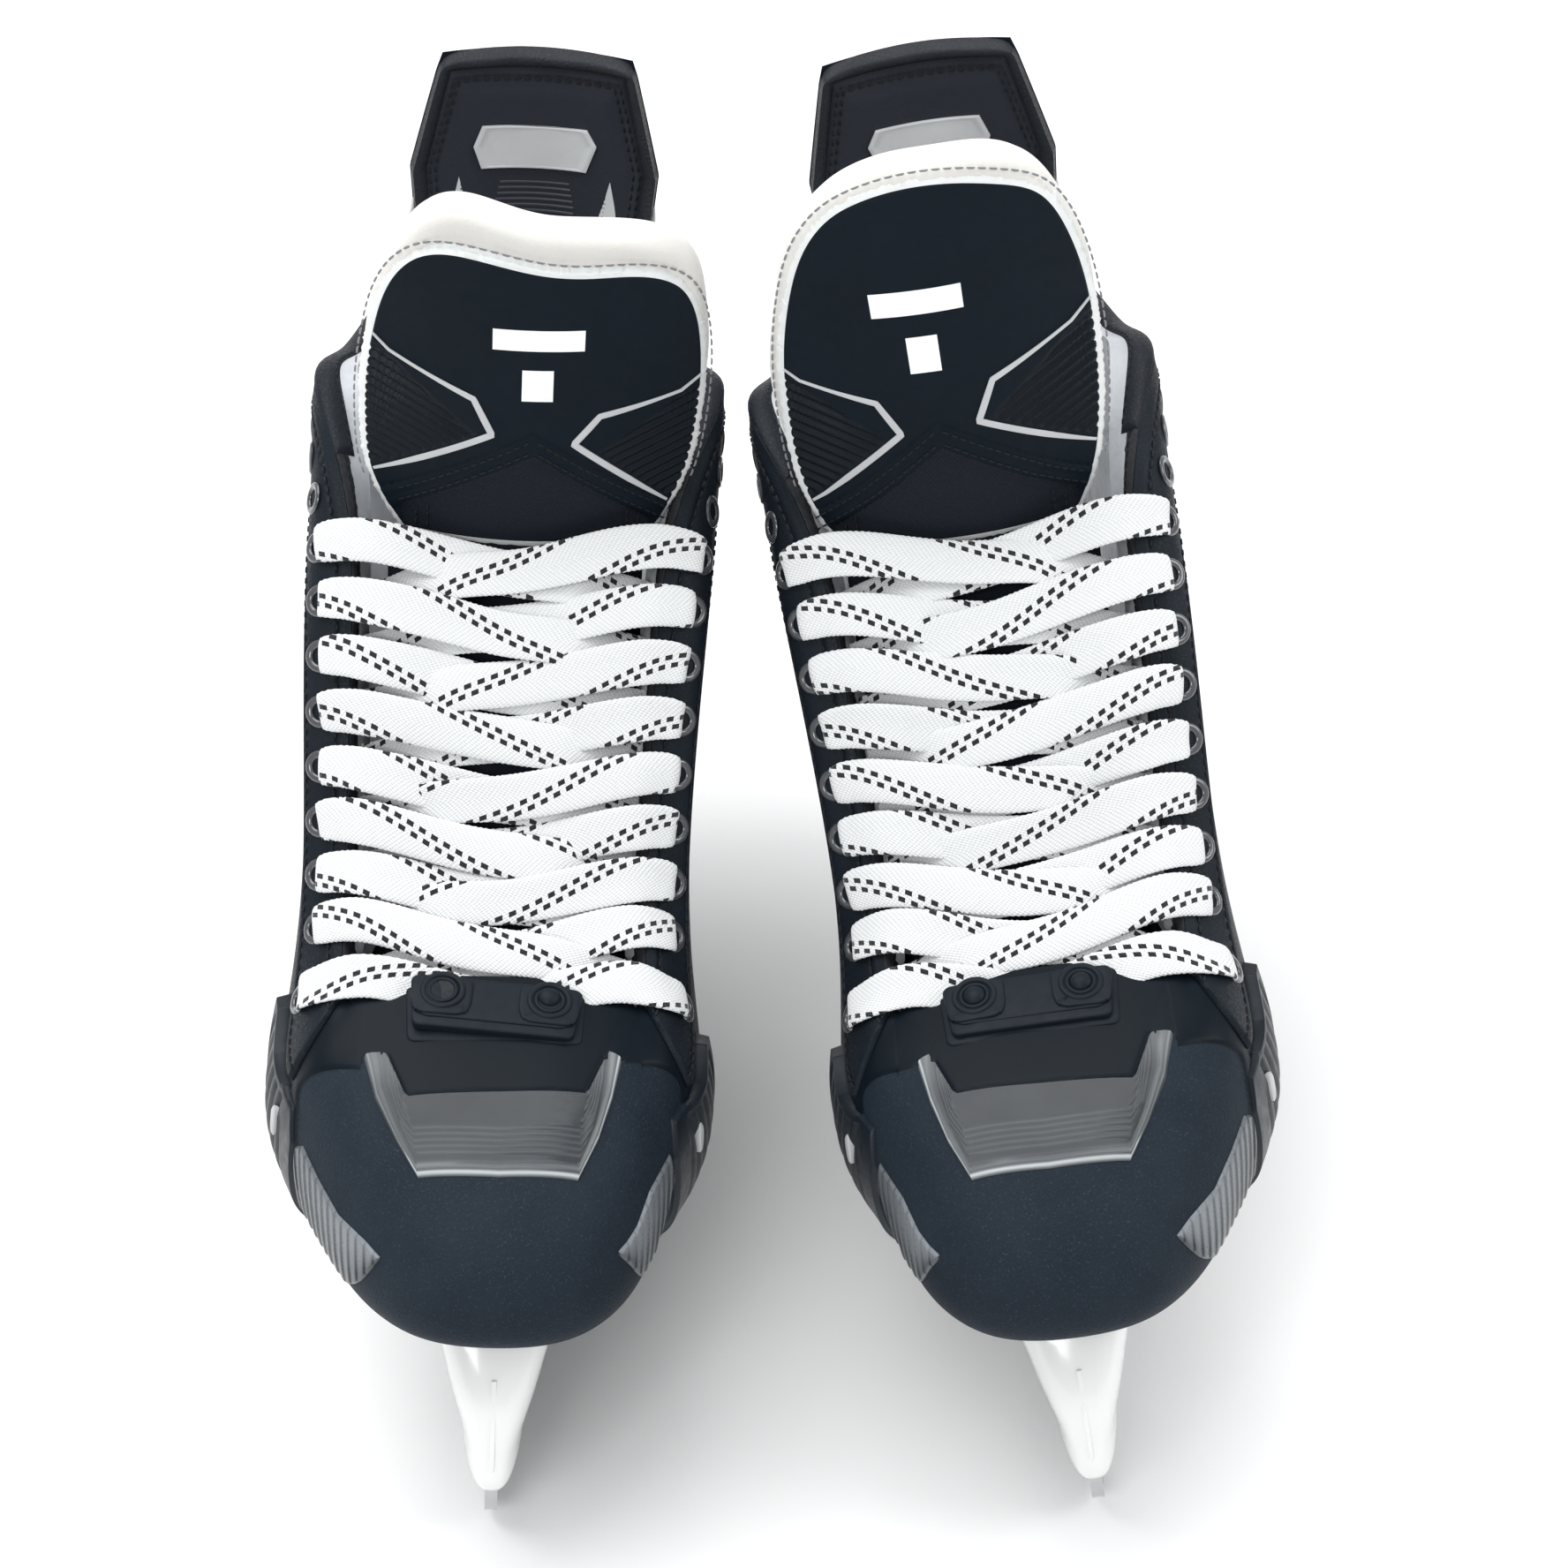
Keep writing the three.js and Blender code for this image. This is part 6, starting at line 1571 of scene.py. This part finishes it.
def liner(k):
    """Padded lining: crowned at the collar, quilted lightly below, and thinner towards the throat."""
    S = np.linspace(med(4.6), lat(4.6), 300)
    ls = L(S)
    q = np.linspace(0, 1, 64)
    s, qq = np.meshgrid(S, q, indexing="ij")
    tt = 0.10 + 0.90 * qq
    up = (1 - tt) * ls[:, None]  # mm below the top
    th = 3.2 + 3.2 * np.exp(-((up / 26) ** 2))
    front = np.minimum(s - S[0], S[-1] - s)
    th = th * (0.45 + 0.55 * sm(front / 40))
    wave = 0.55 * np.sin(s / 11.0 + 1.3 * np.sin(up / 17)) * sm(up / 12) + 0.35 * np.sin(s / 5.1 + up / 7.7) * sm(up / 6)
    chan = np.exp(-((np.mod(up - 16, 24) - 12) / 1.1) ** 2) * sm((up - 8) / 6)
    inner = P(s, tt, -2.9 - th - wave + 1.1 * chan)
    outer = P(s, tt, -2.75 + 0 * th)
    # crown above the edge
    top = P(S, 1.0 + 0 * S)
    upv = top - P(S, 0.97 + 0 * S)
    upv /= np.linalg.norm(upv, axis=1, keepdims=True)
    lift = np.exp(-((up / 3.0) ** 2)) * 2.4
    inner = inner + upv[:, None] * lift[..., None]
    outer = outer + upv[:, None] * (lift * 0.6)[..., None]
    pc = Piece()
    pc.slab(outer, inner, np.stack([s, up], -1), 0)
    o = pc.build(k + "_lining", k, [M["liner"]], 70)
    done(o, k + "_skate", k + "_liner", k + "_liner")


def sole(k):
    pc = Piece()
    Y = np.concatenate([np.linspace(-122.6, -106, 30), np.linspace(-105, 120, 100), np.linspace(121, 141.2, 30)])
    a = np.linspace(-1, 1, 46)
    y, aa = np.meshgrid(Y, a, indexing="ij")
    half = sole_half(Y)[:, None] + 0.6 - 2.2 * sm((-80 - Y) / 35)[:, None]
    x = aa * half + lat_shift(y)
    z = sole_z(Y)[:, None] + 0 * aa
    e = (1 - np.abs(aa)) * half
    d = 0.9 * (1 - np.sqrt(np.clip(1 - (1 - np.clip(e / 1.4, 0, 1)) ** 2, 0, 1)))
    top = np.stack([x, y, z - 0.4 - d], -1)
    bot = np.stack([x, y, z - 3.4 + d + 0.35 * sm((e - 7) / 1.0) * (np.mod((y + 200) / 6.0, 1) > 0.14)], -1)
    pc.slab(top, bot, np.stack([x, y], -1), 0)
    done(pc.build(k + "_sole_plate", k, [M["sole"]], 45), k + "_skate", k + "_outsole", k + "_outsole")
    pc = Piece()
    Y = np.linspace(-110, 129, 120)
    y, aa = np.meshgrid(Y, np.linspace(-1, 1, 40), indexing="ij")
    half = (sole_half(Y) - 5.5)[:, None]
    cup = 2.0 * np.abs(aa) ** 4 * sm((y + 40) / 60)
    x = aa * half + lat_shift(y)
    z = sole_z(Y)[:, None]
    pc.slab(np.stack([x, y, z + 4.6 + cup], -1), np.stack([x, y, z + 2.2 + 0 * x], -1), np.stack([x, y], -1), 0)
    o = pc.build(k + "_insole", k, [M["foam"]], 60)
    done(o, k + "_skate", k + "_footbed", k + "_footbed")


def holder(k):
    """Blade holder: two towers on a bar, with flanges and a mould rib on the nose."""

    def section(z, y0, y1, hx, n=64, e=0.62, e2=0.8):
        a = np.linspace(0, 2 * math.pi, n, endpoint=False)
        c, s_ = np.cos(a), np.sin(a)
        return np.stack(
            [hx * np.sign(c) * np.abs(c) ** e, (y0 + y1) / 2 + (y1 - y0) / 2 * np.sign(s_) * np.abs(s_) ** e2, np.full(n, float(z))],
            1,
        )

    def loft(pc, rows, mat=0, cut=None, n=26):
        r = np.array([x for x in rows], float)
        zs = r[:, 0]
        zz = np.concatenate([np.linspace(zs[i], zs[i + 1], 7, endpoint=False) for i in range(len(zs) - 1)] + [[zs[-1]]])
        f = [spline(zs, r[:, i]) for i in (1, 2, 3)]
        lin = lambda i: np.interp(zz, zs, r[:, i])
        rings = []
        for j, z in enumerate(zz):
            p = section(z, f[0](z), f[1](z), f[2](z))
            if cut:
                p = cut(p)
            rings.append(p)
        v = np.array(rings)
        R, N = v.shape[:2]
        faces = []
        for i in range(R - 1):
            for j in range(N):
                faces.append([i * N + j, i * N + (j + 1) % N, (i + 1) * N + (j + 1) % N, (i + 1) * N + j])
        faces.append(list(range(N))[::-1])
        faces.append([(R - 1) * N + j for j in range(N)])
        w = v.reshape(-1, 3)
        pc.add(w, faces, w[:, 1:], mat)

    def flange_top(p):
        p = p.copy()
        p[:, 2] = np.minimum(p[:, 2], sole_z(p[:, 1]) - 3.9)
        return p

    pc = Piece()
    loft(pc, [(19, -134, -44, 4.4), (21.5, -137.5, -42, 6.4), (30, -138.3, -47, 8.4), (44, -136, -52, 12), (52, -132.5, -52, 14.4), (61, -125, -46, 18.5)], 0, flange_top)
    loft(pc, [(19, 50, 135, 3.4), (21.5, 48, 138.5, 5.2), (30, 51, 139.5, 6.8), (45, 56, 137.5, 9.8), (58, 57, 134, 12.2), (69, 50, 131, 16.5)], 0, flange_top)
    sec = np.array([(-3.4, 19), (-5.2, 21.5), (-5.7, 26), (-5.4, 30), (-3.8, 32.3), (0, 32.8), (3.8, 32.3), (5.4, 30), (5.7, 26), (5.2, 21.5), (3.4, 19)])
    C = np.stack([np.zeros(30), np.linspace(-70, 75, 30), np.zeros(30)], 1)
    pc.sweep(C, np.repeat([[1.0, 0, 0]], 30, 0), np.repeat([[0, 0, 1.0]], 30, 0), sec, 0)

    def flange(ys, hs):
        Y = np.linspace(ys[0], ys[-1], 70)
        h = np.interp(Y, ys, hs)
        f = spline(ys, hs)
        h = np.maximum(f(Y), 6)
        y, aa = np.meshgrid(Y, np.linspace(-1, 1, 40), indexing="ij")
        x = aa * h[:, None] + lat_shift(y)
        e = np.minimum((1 - np.abs(aa)) * h[:, None], np.minimum(y - Y[0], Y[-1] - y))
        round_ = 1.1 * (1 - np.sqrt(np.clip(1 - (1 - np.clip(e / 1.6, 0, 1)) ** 2, 0, 1)))
        z = sole_z(Y)[:, None] - 3.8
        pc.slab(np.stack([x, y, z + 0 * x], -1), np.stack([x, y, z - 2.8 + round_], -1), None, 0)

    flange([-120, -114, -104, -90, -70, -50, -36], [9, 18, 26, 30.5, 31.5, 27, 11])
    flange([42, 55, 75, 100, 122, 135], [11, 20.5, 24, 23.8, 17.5, 8])
    # mould rib down the nose
    zz = np.linspace(26, 54, 24)
    yn = np.interp(zz, [19, 21.5, 30, 44, 52, 60.5], [-134, -137.5, -138.3, -136, -132.5, -128])
    C = np.stack([0 * zz, yn + 0.1, zz], 1)
    T_ = np.gradient(C, axis=0)
    Nn = np.repeat([[0, -1.0, 0.1]], 24, 0)
    pc.sweep(C, np.repeat([[1.0, 0, 0]], 24, 0), Nn, rounded(0.6, 0.45, 0.3), 0)
    o = pc.build(k + "_holder_body", k, [M["holder"]], 42)
    done(o, k + "_skate", k + "_holder", k + "_holder")

    # steel: hollow-ground edges and a radius at each end
    out = np.array([(-132.2, 23.6), (-133, 18), (-132.8, 11), (-130, 5), (-123.5, 1.8), (-110, 0.8), (-62, 0), (62, 0), (112, 0.9), (126, 2.6), (133, 7), (136.5, 13), (137.5, 19), (136.5, 24)])
    f = spline(np.concatenate([[0], np.cumsum(np.sqrt(np.linalg.norm(np.diff(out, axis=0), axis=1)))]), out)
    tot = np.cumsum(np.sqrt(np.linalg.norm(np.diff(out, axis=0), axis=1)))[-1]
    low = f(np.linspace(0, tot, 160))
    low[:, 1] = np.maximum(low[:, 1], 0.0)
    mid = (np.abs(low[:, 0]) < 62)
    low[mid, 1] = 0.0
    topz = np.full(len(low), 24.5)
    topy = np.clip(low[:, 0], -131.5, 136)
    pc = Piece()
    rows = []
    for x0 in (-1.5, -1.2, 0.0, 1.2, 1.5):
        hollow = 0.28 * (1 - (x0 / 1.5) ** 2)
        r = np.stack([np.full(len(low), x0), low[:, 0], low[:, 1] + hollow], 1)
        rows.append(r)
    up = [np.stack([np.full(len(low), x0), topy * 1.0, topz], 1) for x0 in (1.5, -1.5)]
    # faces: bottom band, both sides and the hidden top
    n = len(low)
    v = np.concatenate(rows + [rows[-1] * 0.5 + up[0] * 0.5, up[0], up[1], rows[0] * 0.5 + up[1] * 0.5])
    m = len(rows) + 4
    faces = []
    for i in range(m):
        a_, b_ = i, (i + 1) % m
        for j in range(n - 1):
            faces.append([a_ * n + j, a_ * n + j + 1, b_ * n + j + 1, b_ * n + j])
    faces.append([i * n for i in range(m)])
    faces.append([i * n + n - 1 for i in range(m)][::-1])
    pc.add(v, faces, v[:, 1:], 0)
    # front hook and rear tab, inside the holder
    for y0, y1, z1 in ((-107, -93, 36.5), (106, 118, 37)):
        y, z = np.meshgrid(np.linspace(y0, y1, 8), np.linspace(24, z1, 8), indexing="ij")
        pc.slab(np.stack([1.45 + 0 * y, y, z], -1), np.stack([-1.45 + 0 * y, y, z], -1), None, 0)
    o = pc.build(k + "_steel", k, [M["steel"]], 25)
    done(o, k + "_blade", k + "_runner", k + "_runner")

    # lever, pin and rivets keep their CAD shapes in better materials
    for node, mat in (("lock_lever", "lever"), ("lock_pin", "rivet"), *((f"rivet_{i}", "rivet") for i in range(1, 7))):
        obj = node_object(k + "_" + node)
        obj.data.materials.clear()
        obj.data.materials.append(M[mat])


def node_object(name):
    for o in bpy.data.objects:
        if o.get("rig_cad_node") == name or o.name == name:
            return o
    raise RuntimeError("no node " + name)


for k in ("right", "left"):
    toe_cap(k)
    snap(k)
    quarter(k)
    eyestays(k)
    lace(k)
    tongue(k)
    guard(k)
    liner(k)
    sole(k)
    holder(k)

# ---------------------------------------------------------------- floor, light and camera
floor_mat = m_grain("floor_white", (0.86, 0.86, 0.86), 0.6, 300, 0.00002, 0.01, 0.3)
me = bpy.data.meshes.new("floor")
R = 3.0
prof = [(-3.0, 0.0)] + [(y, 0.0) for y in np.linspace(-2, 1.2, 6)]
for a in np.linspace(0, math.pi / 2, 14):
    prof.append((1.2 + 0.8 * math.sin(a), 0.8 - 0.8 * math.cos(a)))
prof.append((2.0, 4.0))
vs, fs = [], []
for x in (-R, R):
    for y, z in prof:
        vs.append((x, y, z - 0.0002))
n = len(prof)
for i in range(n - 1):
    fs.append([i, i + 1, n + i + 1, n + i])
me.from_pydata(vs, [], fs)
me.polygons.foreach_set("use_smooth", [True] * len(me.polygons))
me.materials.append(floor_mat)
floor = bpy.data.objects.new("floor", me)
bpy.context.scene.collection.objects.link(floor)

scene = bpy.context.scene
w = bpy.data.worlds.new("studio")
scene.world = w
w.use_nodes = True
bg = w.node_tree.nodes["Background"]
bg.inputs["Color"].default_value = (0.97, 0.985, 1.0, 1)
bg.inputs["Strength"].default_value = 0.58


def light(name, loc, target, size, power, size_y=None, color=(1, 1, 1)):
    d = bpy.data.lights.new(name, "AREA")
    d.shape = "RECTANGLE"
    d.size = size
    d.size_y = size_y or size
    d.energy = power
    d.color = color
    o = bpy.data.objects.new(name, d)
    scene.collection.objects.link(o)
    o.location = loc
    o.rotation_euler = (Vector(target) - Vector(loc)).to_track_quat("-Z", "Y").to_euler()
    return o


light("top_soft", (-0.35, 0.25, 1.6), (0, 0, 0.1), 1.7, 30, 1.5)
light("front_soft", (-0.7, -1.6, 1.3), (0, -0.05, 0.12), 0.9, 15, 0.6)
light("rim_right", (1.4, -0.2, 1.0), (0, 0, 0.15), 0.8, 9, 0.8)

cam = bpy.data.cameras.new("camera")
cam.sensor_width = 36
cam.lens = 36 * 3600 / 1776
cam.clip_start = 0.01
co = bpy.data.objects.new("camera", cam)
scene.collection.objects.link(co)
E, ROLL = math.radians(38), math.radians(-1.6)
fwd = np.array([0, math.cos(E), -math.sin(E)])
right = np.array([1.0, 0, 0])
up = np.cross(right, fwd)
r2 = math.cos(ROLL) * right + math.sin(ROLL) * up
u2 = -math.sin(ROLL) * right + math.cos(ROLL) * up
mw = Matrix.Identity(4)
for i in range(3):
    mw[i][0], mw[i][1], mw[i][2] = r2[i], u2[i], -fwd[i]
    mw[i][3] = (np.array([5.0, -641.0, 630.0]) + SHIFT)[i] / 1000
co.matrix_world = mw
scene.camera = co
scene.view_settings.view_transform = "Standard"
scene.view_settings.look = "None"
